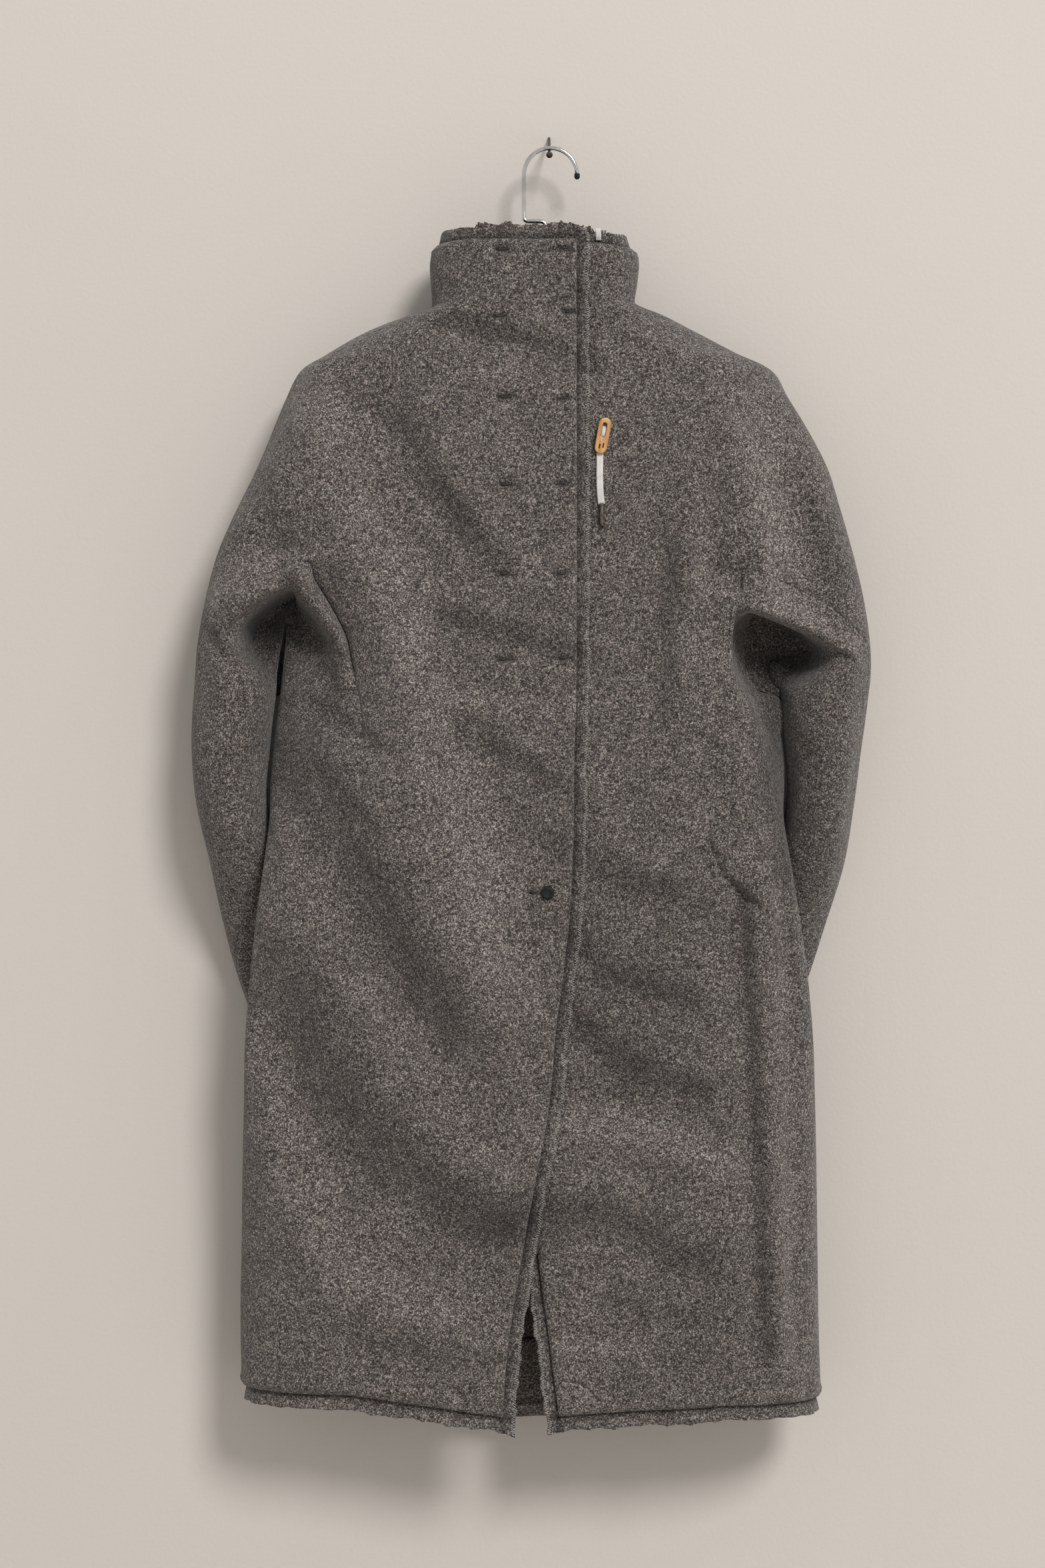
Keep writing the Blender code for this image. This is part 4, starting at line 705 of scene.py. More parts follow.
# soft folds of the cloth
foldSet = dict(
    light=(0.48, 0.75),   # share of the light that comes from the right, and from above
    gain=1.8, least=0.32,   # slope for each unit of tone, and the least share of the light across a streak
    clear=4.0,   # the back keeps this far off the wall
    firm=0.6, firmWide=26.0,   # the doubled front edge takes less of the folds
    pits=[(-252, -448, 36, 40), (207, -468, 38, 46)], pitDark=0.72,   # shade under the arms: x, z, half sizes
    pitDeep=(68, 97), paintedDeep=(34, 54),   # depths over which that painted shade ends and all the painted light and shade sets in
    frontFrom=70.0,   # cloth further than this from the wall is the front's
    slitHigh=2.4, slitFade=2.5, dent=(0.8, 11, 7, 3),   # a buttonhole's dent: depth, half sizes, how far up
    holeDark=0.62, holeHigh=2.6, holeFade=3.0,   # shade at the buttonholes
    swell=dict(right=[(-480, 3.0), (-590, 3.0), (-625, 0)],   # the body leans out to the sleeve: z, how far
               left=[(-490, 10.0), (-512, 26.0), (-528, 24.0), (-545, 11.0), (-580, 7.0), (-600, 5.0),
                     (-625, 0)]),
    swellAt=56.0, swellWide=17.0, swellIn=(1, 16),   # the depth that moves most; rows over which it sets in
    facing=(66, 92), behind=(-48, -26),   # depths from the wall over which front and back folds set in
    lumps=[(0.5, 74, 0.4), (0.22, 29, 1.9)], backLumps=(0.5, 80, 2.2),   # height, wave, phase
    backShare=0.4,   # the back's folds are this much of the front's
    calm=[([(-2.4, -684), (-2.4, -685)], 26), ([(47, -266), (45, -366)], 24)],   # flat under snap and toggle
    front=[   # bent line in x and z; half width; how much lighter or darker the streak is: its slope to the light, and painted light and shade on the wool
        ([(-190, -277), (-155, -370), (-120, -475), (-90, -580), (-61, -673), (-32, -754)], 42, 0.18),
        ([(-90, -178), (-27, -195), (34, -218)], 15, -0.20),
        ([(-60, -228), (30, -246)], 12, 0.08),
        ([(-131, -262), (-79, -352)], 20, -0.17),
        ([(-100, -330), (-50, -393)], 14, -0.12),
        ([(-88, -442), (20, -470)], 15, -0.20),
        ([(-79, -512), (43, -524)], 13, 0.14),
        ([(-72, -540), (8, -590)], 16, -0.18),
        ([(-213, -575), (-165, -655), (-131, -725), (-92, -790)], 36, -0.24),
        ([(-222, -770), (-190, -850), (-146, -908), (-90, -950), (-38, -972)], 44, -0.22),
        ([(-38, -972), (0, -958), (60, -968), (128, -1002)], 28, -0.18),
        ([(-247, -836), (-216, -940), (-180, -1012), (-108, -1047)], 30, 0.14),
        ([(-166, -768), (-112, -822)], 18, 0.10),
        ([(8, -882), (80, -890), (148, -917)], 24, 0.22),
        ([(-70, -905), (-30, -925)], 16, 0.10),
        ([(10, -640), (60, -668), (128, -690)], 22, -0.16),
        ([(22, -722), (48, -752), (110, -770)], 18, -0.20),
        ([(24, -792), (60, -830), (118, -850)], 20, -0.22),
        ([(171, -684), (180, -860), (189, -1085)], 11, -0.25),
        ([(198, -690), (205, -860), (210, -1085)], 10, 0.16),
        ([(107, -385), (106, -440), (100, -515)], 15, -0.17),
        ([(130, -290), (134, -430)], 16, 0.10),
        ([(176, -285), (196, -350), (206, -417)], 30, 0.22),
        ([(160, -420), (215, -440), (262, -462)], 16, 0.16),
        ([(225, -330), (250, -400)], 18, -0.14),
        ([(-300, -420), (-262, -398), (-222, -396)], 18, 0.14),
        ([(-250, -330), (-232, -378)], 18, -0.12),
        ([(60, -1042), (140, -1052)], 18, -0.10),
        ([(-150, -1075), (-60, -1088)], 16, -0.12),
        ([(10, -1075), (90, -1090)], 14, 0.10),
        ([(-205, -517), (-178, -533), (-155, -548)], 12, -0.22),
        ([(-213, -579), (-201, -603), (-192, -626)], 9, 0.12),
        ([(-190, -580), (-172, -603), (-151, -629)], 9, -0.14),
        ([(-257, -612), (-248, -623), (-242, -638)], 6, -0.2),
        ([(-296, -456), (-284, -474)], 7, -0.25),
        ([(150, -560), (160, -610)], 14, -0.10),
        ([(26, -157), (33, -168)], 5, -0.2),
        ([(-226, -412), (-205, -455), (-190, -500)], 12, -0.26),
    ],
    back=[
        ([(-120, -260), (-40, -520)], 30, -0.16), ([(100, -280), (30, -540)], 30, -0.16),
        ([(-10, -300), (-12, -640)], 26, 0.14), ([(-130, -640), (-90, -960)], 34, 0.16),
        ([(70, -640), (110, -900)], 34, -0.16), ([(-30, -820), (-20, -1100)], 30, -0.16),
        ([(-80, -700), (30, -760)], 28, 0.12), ([(120, -960), (60, -1100)], 30, 0.12),
        ([(-150, -1000), (-60, -1060)], 28, -0.12),
    ],
    patches=[   # x, z, half sizes, tone: painted light and shade on the wool
        (72, -770, 70, 130, -0.13), (-285, -540, 34, 90, -0.10), (236, -570, 30, 130, -0.20),
        (0, -145, 100, 40, -0.07), (-250, -420, 50, 30, 0.06), (215, -330, 40, 70, 0.08),
        (-150, -430, 40, 80, 0.06), (-60, -660, 40, 90, 0.08), (196, -560, 15, 55, -0.42),
        (207, -650, 12, 60, -0.34), (-247, -545, 9, 60, -0.34), (-190, -520, 20, 45, -0.16),
        (150, -1060, 60, 60, -0.08), (-240, -1060, 40, 60, -0.04), (-150, -980, 60, 50, 0.04),
    ],
    creases=[   # a bent line; one side of it swells by up over reach, the other drops, fading over fade
        dict(line=[(-290, -462), (-274, -443), (-260, -433), (-242, -422), (-226, -418)], up=1.5, reach=9,
             down=5, fade=16),
        dict(line=[(271, -480), (260, -474), (237, -464), (219, -455), (195, -445), (182, -441), (158, -440)],
             up=2.0, reach=14, down=8.0, fade=15, turn=-1),
        dict(line=[(190, -702), (181, -692), (167, -681), (161, -674), (153, -667), (147, -652), (142, -640),
                   (136, -622)], up=3.5, reach=20, down=4.5, fade=12, turn=-1),
    ],
    holes=[   # x, z, length, depth
        (-42, -119, 9, 2.6), (13, -118, 9, 2.6), (-44, -178, 9, 2.4), (17, -174, 9, 2.4),
        (-39, -250, 10, 2.6), (12, -251, 10, 2.6), (-39, -327, 10, 2.6), (11, -326, 10, 2.6),
        (-40, -405, 10, 2.6), (12, -405, 10, 2.6), (-40, -480, 10, 2.6), (12, -479, 10, 2.6),
        (-14, -683, 7, 0.8),
    ],
)


def alongLine(x, z, line):
    # off the nearest stretch of a bent line, plus to its left; how far past its ends; the share of it passed
    best = np.full(np.shape(x), 1e9)
    side, past, share = np.zeros(np.shape(x)), np.zeros(np.shape(x)), np.zeros(np.shape(x))
    for k, ((x1, z1), (x2, z2)) in enumerate(zip(line[:-1], line[1:])):
        dx, dz = x2 - x1, z2 - z1
        size = math.hypot(dx, dz)
        s = ((x - x1) * dx + (z - z1) * dz) / size
        off = (dx * (z - z1) - dz * (x - x1)) / size
        over = np.maximum(np.maximum(-s, s - size), 0)
        near = np.hypot(off, over) < best
        best = np.where(near, np.hypot(off, over), best)
        side, past = np.where(near, off, side), np.where(near, over, past)
        share = np.where(near, (k + np.clip(s / size, 0, 1)) / (len(line) - 1), share)
    return side, past, share


def strokes(x, z, table):
    # each streak turns to or from the light: a * u * exp(-u^2 - (past / 1.5 width)^2), u = side / width; its
    # slope a / width is the tone over how much of the light falls across the line
    out = np.zeros(np.shape(x))
    right, above = foldSet["light"]
    for line, width, tone in table:
        dx, dz = line[-1][0] - line[0][0], line[-1][1] - line[0][1]
        lit = (above * dx - right * dz) / math.hypot(dx, dz)
        lit = math.copysign(max(abs(lit), foldSet["least"]), lit)
        side, past, _ = alongLine(x, z, line)
        u = side / width
        out += foldSet["gain"] * tone / lit * width * u * np.exp(-(u**2) - (past / (1.5 * width)) ** 2)
    return out


def paintedLightShadeAt(points):
    # painted light and shade on the wool: tone * exp(-(1.3 side / width)^2) over the fold streaks, the
    # patches, less painted shade deep under the arms and at the buttonholes; none of it towards the wall
    x, h, z = points[:, 0], -points[:, 1], points[:, 2]
    out = np.zeros(len(points))
    for line, width, tone in foldSet["front"]:
        side, past, _ = alongLine(x, z, line)
        out += tone * np.exp(-((1.3 * side / width) ** 2) - (past / width) ** 2)
    for px, pz, rx, rz, tone in foldSet["patches"]:
        out += tone * np.exp(-(((x - px) / rx) ** 2) - ((z - pz) / rz) ** 2)
    under = sum(np.exp(-(((x - px) / rx) ** 2) - ((z - pz) / rz) ** 2) for px, pz, rx, rz in foldSet["pits"])
    under *= 1 - ramp(h, *foldSet["pitDeep"])
    for hx, hz, long, _ in foldSet["holes"]:
        past = np.maximum(np.abs(x - hx) - long * 0.5, 0)
        out -= foldSet["holeDark"] * np.exp(-(((z - hz) / foldSet["holeHigh"]) ** 2)
                                            - (past / foldSet["holeFade"]) ** 2)
    return (out - foldSet["pitDark"] * under) * ramp(h, *foldSet["paintedDeep"])


def creaseAt(x, z, line, up, reach, down, fade, turn=1):
    # step 0..1 over 3 mm; step * up * exp(-(d / reach)^2) - (1 - step) * down * exp(-|d| / fade), eased at
    # both ends of the line
    d, _, share = alongLine(x, z, line)
    d = d * turn
    step = ramp(d, -1.6, 1.6)
    raised = step * up * np.exp(-((d / reach) ** 2))
    dropped = (1 - step) * down * np.exp(np.minimum(d, 0) / fade)
    return (raised - dropped) * ramp(share, 0, 0.18) * (1 - ramp(share, 0.82, 1.0))


def holesAt(x, z, table):
    # closed buttonhole: a short slit pressed in by depth * exp(-(up / high)^2 - (past / fade)^2), and a softer
    # dent round it
    out = np.zeros(np.shape(x))
    deep, wide, high, up = foldSet["dent"]
    for cx, cz, long, depth in table:
        along = np.maximum(np.abs(x - cx) - long * 0.5, 0)
        out += depth * np.exp(-((z - cz) / foldSet["slitHigh"]) ** 2 - (along / foldSet["slitFade"]) ** 2)
        out += deep * np.exp(-(((x - cx) / wide) ** 2) - ((z - cz - up) / high) ** 2)
    return out


def lumps(x, z, height, wave, phase):
    # slow unevenness of washed wool: height * (a b + 0.6 c a + 0.4 b), each a sine along its own direction
    a = np.sin(2 * math.pi * (0.92 * x + 0.38 * z) / wave + phase)
    b = np.sin(2 * math.pi * (-0.31 * x + 0.95 * z) / (wave * 1.27) + 2.1 * phase)
    c = np.sin(2 * math.pi * (0.6 * x - 0.8 * z) / (wave * 0.71) + 0.7 * phase)
    return height * (a * b + 0.6 * c * a + 0.4 * b)


def drape(grid, holes=False):
    # the folds set the front back and the back forward, each only where the cloth faces that way
    x, h, z = grid[..., 0], -grid[..., 1], grid[..., 2]
    out = grid.copy()
    facing, behind = ramp(h, *foldSet["facing"]), ramp(-h, *foldSet["behind"])
    sunk = strokes(x, z, foldSet["front"]) + sum(lumps(x, z, *one) for one in foldSet["lumps"])
    for crease in foldSet["creases"]:
        sunk = sunk - creaseAt(x, z, **crease)
    if holes:
        sunk = sunk + holesAt(x, z, foldSet["holes"])
    for line, reach in foldSet["calm"]:
        side, past, _ = alongLine(x, z, line)
        sunk = sunk * (1 - np.exp(-((side**2 + past**2) / reach**2)))
    if len(frontEdge):
        aside = x - np.interp(-z, -frontEdge[:, 2], frontEdge[:, 0])
        sunk = sunk * (1 - foldSet["firm"] * np.exp(-((aside / foldSet["firmWide"]) ** 2)))
    out[..., 1] += sunk * facing
    lift = foldSet["backShare"] * strokes(x, z, foldSet["back"]) + lumps(x, z, *foldSet["backLumps"])
    out[..., 1] -= lift * behind
    out[..., 1] = np.minimum(out[..., 1], np.maximum(grid[..., 1], -foldSet["clear"]))
    return out


def swollen(panel, side):
    # below the armpit the body moves out by how far (z) * exp(-((h - at) / wide)^2), from nothing at its top
    z, far = np.array(foldSet["swell"][side]).T
    top = int(np.argmax(panel[:, panel.shape[1] // 2, 2]))
    setIn = ramp(np.arange(len(panel))[:, None] - top, *foldSet["swellIn"])
    bell = np.exp(-(((-panel[..., 1] - foldSet["swellAt"]) / foldSet["swellWide"]) ** 2))
    out = panel.copy()
    out[..., 0] += sign[side] * setIn * bell * np.interp(-panel[..., 2], -z, far)
    return out


cloth, frontEdge = {}, []
for s in sides:
    panel = swollen(finePanel(panels[s]), s)
    front, frontCells = fineFront(fronts[s], panel[:, 0])
    frontEdge = front[:, 0] if s == "right" else frontEdge
    cloth["front", s] = drape(front, s == "right")
    cloth["half", s], halfCells = fineFront(backs[s], panel[::2, -1], 2)
    cloth["side", s] = drape(panel)
cloth["back"] = drape(np.concatenate([cloth["half", "right"][:, ::-1], cloth["half", "left"][:, 1:]], 1))
backCells = np.concatenate([halfCells[:, ::-1], halfCells], 1)


def outwardNormals(grid, cells, outward):
    # normals only from the used part: the unused points beside it are carried on in a straight line first
    filled, used = grid, cornersOf(cells)
    for axis, step in ((1, 1), (1, -1), (0, 1), (0, -1)):
        filled, used = growInto(filled, used, axis, step)
    return normalsOf(filled, outward)


def growInto(filled, used, axis, step):
    # one more ring of points beyond the used ones, carried on in a straight line
    near, far = np.roll(filled, step, axis), np.roll(filled, 2 * step, axis)
    known = np.roll(used, step, axis) & np.roll(used, 2 * step, axis) & ~used
    filled = np.where(known[..., None], 2 * near - far, filled)
    return filled, used | known


edgeSet = dict(roll=1.3, rollWide=1.8, ridge=1.3, ridgeAt=5.5, ridgeWide=3.6,
               groove=0.5, bodyGroove=0.1, grooveWide=1.2, pressed=0.15, pressedAt=5.0, pressedWide=3.0)
layers = {}


def alongRows(grid):
    # distance run from the first row, down each column
    return np.concatenate([np.zeros((1, grid.shape[1])), np.cumsum(netLengths(grid, 0), 0)])


def alongCols(grid):
    # distance run from the first column, along each row
    return np.concatenate([np.zeros((grid.shape[0], 1)), np.cumsum(netLengths(grid, 1), 1)], 1)


def rolled(distance):
    # free edge: falls by roll * exp(-(d / wide)^2), with a low ridge behind it
    e = edgeSet
    return (e["ridge"] * np.exp(-(((distance - e["ridgeAt"]) / e["ridgeWide"]) ** 2))
            - e["roll"] * np.exp(-((distance / e["rollWide"]) ** 2)))


def seamed(distance, z):
    # sewn edge: a narrow groove, nearly felted shut on the body, and the pressed-open allowance beside it
    e = edgeSet
    depth = e["bodyGroove"] + (e["groove"] - e["bodyGroove"]) * ramp(z, -600, -500)
    return (e["pressed"] * np.exp(-(((distance - e["pressedAt"]) / e["pressedWide"]) ** 2))
            - depth * np.exp(-((distance / e["grooveWide"]) ** 2)))


def seamDistance(grid, every):
    # least distance to the seam path, measured along rows and up columns
    down, over = alongRows(grid), alongCols(grid)
    far = np.full(grid.shape[:2], 99.0)
    for r, c in seamPath[every]:
        far[r] = np.minimum(far[r], np.abs(over[r] - over[r, c]))
        far[:r + 1, c] = np.minimum(far[:r + 1, c], np.abs(down[:r + 1, c] - down[r, c]))
    return far


def outerPiece(name, key, cells, normals, relief, flip, on):
    # the grid raised by its relief along its normals, with its inner face left in place
    grid = cloth[key] + normals * relief[..., None]
    layers[key] = (grid, normals)
    obj = wallOf(name + "_cloth", grid, normals, cells, clothSet["outer"] + relief, flip=flip, gap=0.0)
    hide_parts(name)


for s in sides:
    grid = cloth["front", s]
    over, down = alongCols(grid), alongRows(grid)
    relief = seamed(seamDistance(grid, 1), grid[..., 2])
    edge = np.minimum(np.minimum(over, down), down[-1:] - down)
    relief = np.where(edge < 20, np.minimum(rolled(edge), relief + rolled(edge)), relief)
    outerPiece("front_" + s, ("front", s), frontCells, outwardNormals(grid, frontCells, -sign[s]), relief,
               s == "right", "hanger")
    grid = cloth["side", s]
    over, down = alongCols(grid), alongRows(grid)
    relief = seamed(np.minimum(over, over[:, -1:] - over), grid[..., 2])
    relief += rolled(np.minimum(down[-1:] - down, down))
    cells = np.ones((grid.shape[0] - 1, grid.shape[1] - 1), bool)
    outerPiece("side_" + s, ("side", s), cells, normalsOf(grid, -sign[s]), relief, s == "right",
               "front_" + s + "_cloth")
    print("coat: front and side", s, "made")
grid = cloth["back"]
down = alongRows(grid)
relief = rolled(np.minimum(down, down[-1:] - down))
half = (grid.shape[1] - 1) // 2
rightHalf = seamDistance(grid[:, half::-1], 2)[:, ::-1]
leftHalf = seamDistance(grid[:, half:], 2)
relief += seamed(np.concatenate([rightHalf, leftHalf[:, 1:]], 1), grid[..., 2])
outerPiece("back", "back", backCells, outwardNormals(grid, backCells, 1), relief, True, "hanger")
print("coat: back made")


# the inner layer, raw edges standing out
flangeSet = dict(cells=7, wave=0.7, lift=2.2, foot=2.4, footWide=0.26, collarDown=22, edgeIn=10, hemIn=22,
                 dark=0.5, darkWide=1.3)   # shade where the layer leaves the outer one's edge


def ripple(s, phase):
    # sum of four sines of falling size: an uneven line, the same on each run
    return sum(a * np.sin(2 * math.pi * s / wave + phase * (k + 1.7))
               for k, (wave, a) in enumerate(((61.0, 0.5), (23.0, 0.35), (11.3, 0.28), (6.1, 0.2))))


def spread(grid, axis, end, length, phase, out=(0, -1, 0)):
    # rows of points beyond one end of the grid: sunk beside the outer layer's edge by
    # foot * exp(-(d / wide)^2), rising as d^2 to an uneven raw edge, d the share of the way out
    grid = np.swapaxes(grid, 0, axis)
    if end:
        grid = grid[::-1]
    edge = grid[0]
    way = unit(edge - grid[3])
    s = np.append(0, np.cumsum(np.linalg.norm(np.diff(edge, axis=0), axis=1)))
    reach = length + flangeSet["wave"] * ripple(s, phase)
    d = np.linspace(1, 0, flangeSet["cells"], endpoint=False)[:, None]
    beyond = edge + way * (d * reach)[..., None]
    sink = flangeSet["foot"] * np.exp(-((d / flangeSet["footWide"]) ** 2))
    beyond += out * (flangeSet["lift"] * d**2 * (0.6 + ripple(s, phase + 2.3)) - sink)[..., None]
    grid = np.concatenate([beyond, grid])
    if end:
        grid = grid[::-1]
    return np.swapaxes(grid, 0, axis)


def areaOf(grid, cells):
    # half the cross product of each cell's diagonals, in square metres
    a, b = grid[1:, 1:] - grid[:-1, :-1], grid[:-1, 1:] - grid[1:, :-1]
    return float((np.linalg.norm(np.cross(a, b), axis=-1) / 2)[cells].sum() / 1e6)


def footShade(far):
    # painted shade in the crevice: -dark * exp(-(far / wide)^2), far the number of cells from the outer
    # layer's edge
    return -flangeSet["dark"] * np.exp(-((far / flangeSet["darkWide"]) ** 2))


inner = {}
under = clothSet["outer"] + clothSet["plyGap"]   # how far the inner layer lies under the outer one's face
more, hemOut = flangeSet["cells"], clothSet["hemOut"]
for s in sides:
    wide = spread(spread(cloth["front", s], 0, False, hemOut, 1.1), 0, True, hemOut, 2.9)
    wide = spread(wide, 1, False, clothSet["edgeOut"], 4.2 if s == "right" else 5.7)
    cells = np.zeros((wide.shape[0] - 1, wide.shape[1] - 1), bool)
    cells[:more + flangeSet["collarDown"]] = True
    cells[:, :more + flangeSet["edgeIn"]] = True
    cells[-more - flangeSet["hemIn"]:, :more + int(colKnots[armCol])] = True
    normals = outwardNormals(wide, cells, -sign[s])
    grid = wide - normals * under
    inner[s] = (grid, normals)
    # painted shade along the inner layer's foot, beside the outer layer's front edge, collar and hem
    aside = np.abs(np.arange(grid.shape[1])[None] - more + 0.7)
    row = np.arange(grid.shape[0])[:, None]
    below = np.minimum(np.abs(row - more + 0.7), np.abs(row - grid.shape[0] + more + 0.3))
    obj = wallOf("inner_front_" + s + "_cloth", grid, normals, cells, clothSet["inner"], flip=s == "right",
                 bulge=0.45, shade=footShade(np.minimum(aside, below)))
    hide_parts("inner_front_" + s)
    areaOf(grid, cells)
    "front_" + s + "_cloth"
    print("coat: inner front", s, "made")


def liner(name, slot, grid, normals, end, phase):
    # a strip of the inner layer: the outer one's grid and normals, with the raw edge standing out at one end
    edge = normals[-1:] if end else normals[:1]
    wide = spread(grid, 0, end, hemOut, phase, edge[0] if end else (0, -1, 0))
    extra = np.repeat(edge, more, 0)
    normals = np.concatenate([normals, extra] if end else [extra, normals])
    cells = np.ones((wide.shape[0] - 1, wide.shape[1] - 1), bool)
    grid = wide - normals * under
    # painted shade along the foot, where the raw edge leaves the outer layer
    far = np.abs(np.arange(len(grid)) - (len(grid) - more - 0.3 if end else more - 0.7))[:, None]
    shade = np.broadcast_to(footShade(far), grid.shape[:2])
    obj = wallOf(name, grid, normals, cells, clothSet["inner"], flip=True, bulge=0.45, shade=shade)
    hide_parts(slot)
    areaOf(grid, cells)
    return grid, normals


low = int(rowKnots[5] / 2) + 1
inner["collar"] = liner("inner_back_collar_cloth", "inner_back_collar", cloth["back"][:low],
                        layers["back"][1][:low], False, 6.4)
nArm, up = int(colKnots[armCol] / 2), 12
middle = slice(half - nArm, half + nArm + 1)
lower = [[cloth["side", "right"][1 - 2 * up::2][:, :-1], cloth["back"][-up:, middle],
          cloth["side", "left"][1 - 2 * up::2][:, -2::-1]],
         [layers["side", "right"][1][1 - 2 * up::2][:, :-1], layers["back"][1][-up:, middle],
          layers["side", "left"][1][1 - 2 * up::2][:, -2::-1]]]
inner["hem"] = liner("inner_back_hem_cloth", "inner_back_hem", np.concatenate(lower[0], 1),
                     np.concatenate(lower[1], 1), True, 7.9)
print("coat: inner back made")


# thread sewn over the raw front edges
threadSet = dict(step=1.2, near=0.3, far=2.9, thick=0.27, sides=6, lift=0.3)


def tubeOf(name, points, up, radius, sides, material):
    # ring of points round each point of a line, square to the line's own run, closed by a fan at both ends
    beside = unit(np.cross(unit(np.gradient(points, axis=0)), up))
    up = np.cross(beside, unit(np.gradient(points, axis=0)))
    a = (2 * math.pi * np.arange(sides) / sides)[None, :, None]
    rings = points[:, None] + radius * (np.cos(a) * beside[:, None] + np.sin(a) * up[:, None])
    ends = np.concatenate([rings.reshape(-1, 3), points[:1], points[-1:]])
    return newPiece(name, ends, ringFaces(sides, len(points)), material)


def alongEdge(edge, step):
    # even places along a line of points: whole-number row, share towards the next
    s = np.append(0, np.cumsum(np.linalg.norm(np.diff(edge, axis=0), axis=1)))
    return np.interp(np.arange(0, s[-1], step), s, np.arange(len(s)))


def atRows(grid, t):
    # straight between the rows on each side of a fractional row
    i = np.minimum(t.astype(int), len(grid) - 2)
    f = (t - i)[:, None]
    return grid[i] * (1 - f) + grid[i + 1] * f


def flatFinish(name, scale, dark, light, rough):
    # two tones straight from a noise
    f = Finish(name)
    return f.finish(Base_Color=f.mix(f.noise(scale), dark, light), Roughness=rough)


threadFinish = flatFinish("paleThread", 900.0, (0.42, 0.41, 0.39), (0.62, 0.61, 0.58), 0.85)
for s in sides:
    grid, normals = inner[s]
    t = alongEdge(grid[:, 0], threadSet["step"])
    into, up = unit(atRows(grid[:, 2] - grid[:, 0], t)), unit(atRows(normals[:, 1], t))
    place = np.where(np.arange(len(t)) % 2, threadSet["far"], threadSet["near"]) + 0.25 * ripple(t * 3.1, 3.3)
    points = atRows(grid[:, 0], t) + into * place[:, None] + up * threadSet["lift"]
    tubeOf("edge_thread_" + s, points, up, threadSet["thick"], threadSet["sides"], threadFinish)
print("coat: edge threads sewn")


# trims, hook, nail and hanger
def latheOf(name, profile, centre, way, sides, material):
    # rings of (out, radius) round an axis, closed at both ends by a fan
    way = unit(np.asarray(way, float))
    one = unit(np.cross(way, (0.3, 0.2, 1.0)))
    two = np.cross(way, one)
    a = 2 * math.pi * np.arange(sides) / sides
    spokes = np.cos(a)[:, None] * one + np.sin(a)[:, None] * two
    rings = [np.asarray(centre) + way * out + spokes * radius for out, radius in profile]
    middles = [np.asarray(centre) + way * profile[0][0], np.asarray(centre) + way * profile[-1][0]]
    faces = ringFaces(sides, len(rings), turned=True)
    return newPiece(name, np.vstack(rings + middles), faces, material)


def clothOut(side, x, z, reach=0.0):
    # how far out the finished cloth lies at a place on a front: its nearest point, or the furthest in reach
    grid = layers["front", side][0]
    near = (grid[..., 0] - x) ** 2 + (grid[..., 2] - z) ** 2
    near = near + np.where(grid[..., 1] > -foldSet["frontFrom"], 1e6, 0)
    within = near <= max(reach**2, near.min())
    return -grid[within][:, 1].min()


def plainFinish(name, dark, light, scale, rough, metal=0.0, stretch=None, bump=(600.0, 0.1, 0.0005), coat=0.0,
                gloss=0.5):
    # two tones under a noise, a little uneven in roughness, with a fine bump
    f = Finish(name)
    spot = f.noise(scale, 3.0, 0.6, stretch)
    uneven = f.between(f.noise(scale * 2.3, 2.0), 0.3, 0.7, rough * 0.85, min(1.0, rough * 1.15))
    return f.finish(Base_Color=f.mix(f.between(spot, 0.35, 0.65), dark, light), Roughness=uneven,
                    Metallic=metal, Specular_IOR_Level=gloss, Coat_Weight=coat, Coat_Roughness=0.25,
                    Normal=f.bump(f.noise(bump[0], 3.0, 0.6, stretch), bump[1], bump[2]))


def laceFinish():
    # flat woven braid: fine ribs across it, painted shade darkening the valleys between them, a little grubby
    f = Finish("wovenLace")
    rib = f.make("ShaderNodeTexWave", dict(bands_direction="Z", wave_profile="SIN"), Vector=f.place,
                 Scale=520.0, Distortion=1.5)
    tone = f.mix(f.between(f.noise(120.0, 3.0), 0.35, 0.7), (0.60, 0.57, 0.55), (0.74, 0.72, 0.70))
    # painted shade: the colour darkens towards the valley tone in the ribs' low parts
    valley = f.mix(0.8, tone, (0.5, 0.47, 0.45))
    return f.finish(Base_Color=f.mix(f.between(rib, 0.0, 0.5), valley, tone), Roughness=0.85,
                    Normal=f.bump(rib, 0.4, 0.0004))


finishes = dict(
    chrome=plainFinish("chromeWire", (0.55, 0.54, 0.53), (0.72, 0.71, 0.70), 60.0, 0.13, 1.0),
    steel=plainFinish("darkSteel", (0.035, 0.028, 0.025), (0.10, 0.085, 0.08), 300.0, 0.42, 0.85,
                      bump=(900.0, 0.3, 0.0004)),
    hanger=plainFinish("hangerPlastic", (0.02, 0.02, 0.02), (0.032, 0.031, 0.03), 90.0, 0.42,
                       bump=(1400.0, 0.2, 0.0002)),
    wood=plainFinish("honeyWood", (0.36, 0.165, 0.045), (0.60, 0.33, 0.115), 260.0, 0.42,
                     stretch=(1.0, 1.0, 0.12), bump=(700.0, 0.15, 0.0003), coat=0.3),
    # near-black: the painted shadow inside the buttonhole slits
    slitShadow=plainFinish("slitShadowBlack", (0.012, 0.011, 0.010), (0.045, 0.041, 0.038), 900.0, 0.95),
    cap=plainFinish("blackCap", (0.008, 0.008, 0.007), (0.02, 0.02, 0.018), 800.0, 0.6, gloss=0.15),
    tip=plainFinish("laceMetal", (0.06, 0.047, 0.04), (0.15, 0.125, 0.11), 400.0, 0.38, 0.7),
    lace=laceFinish(),
)


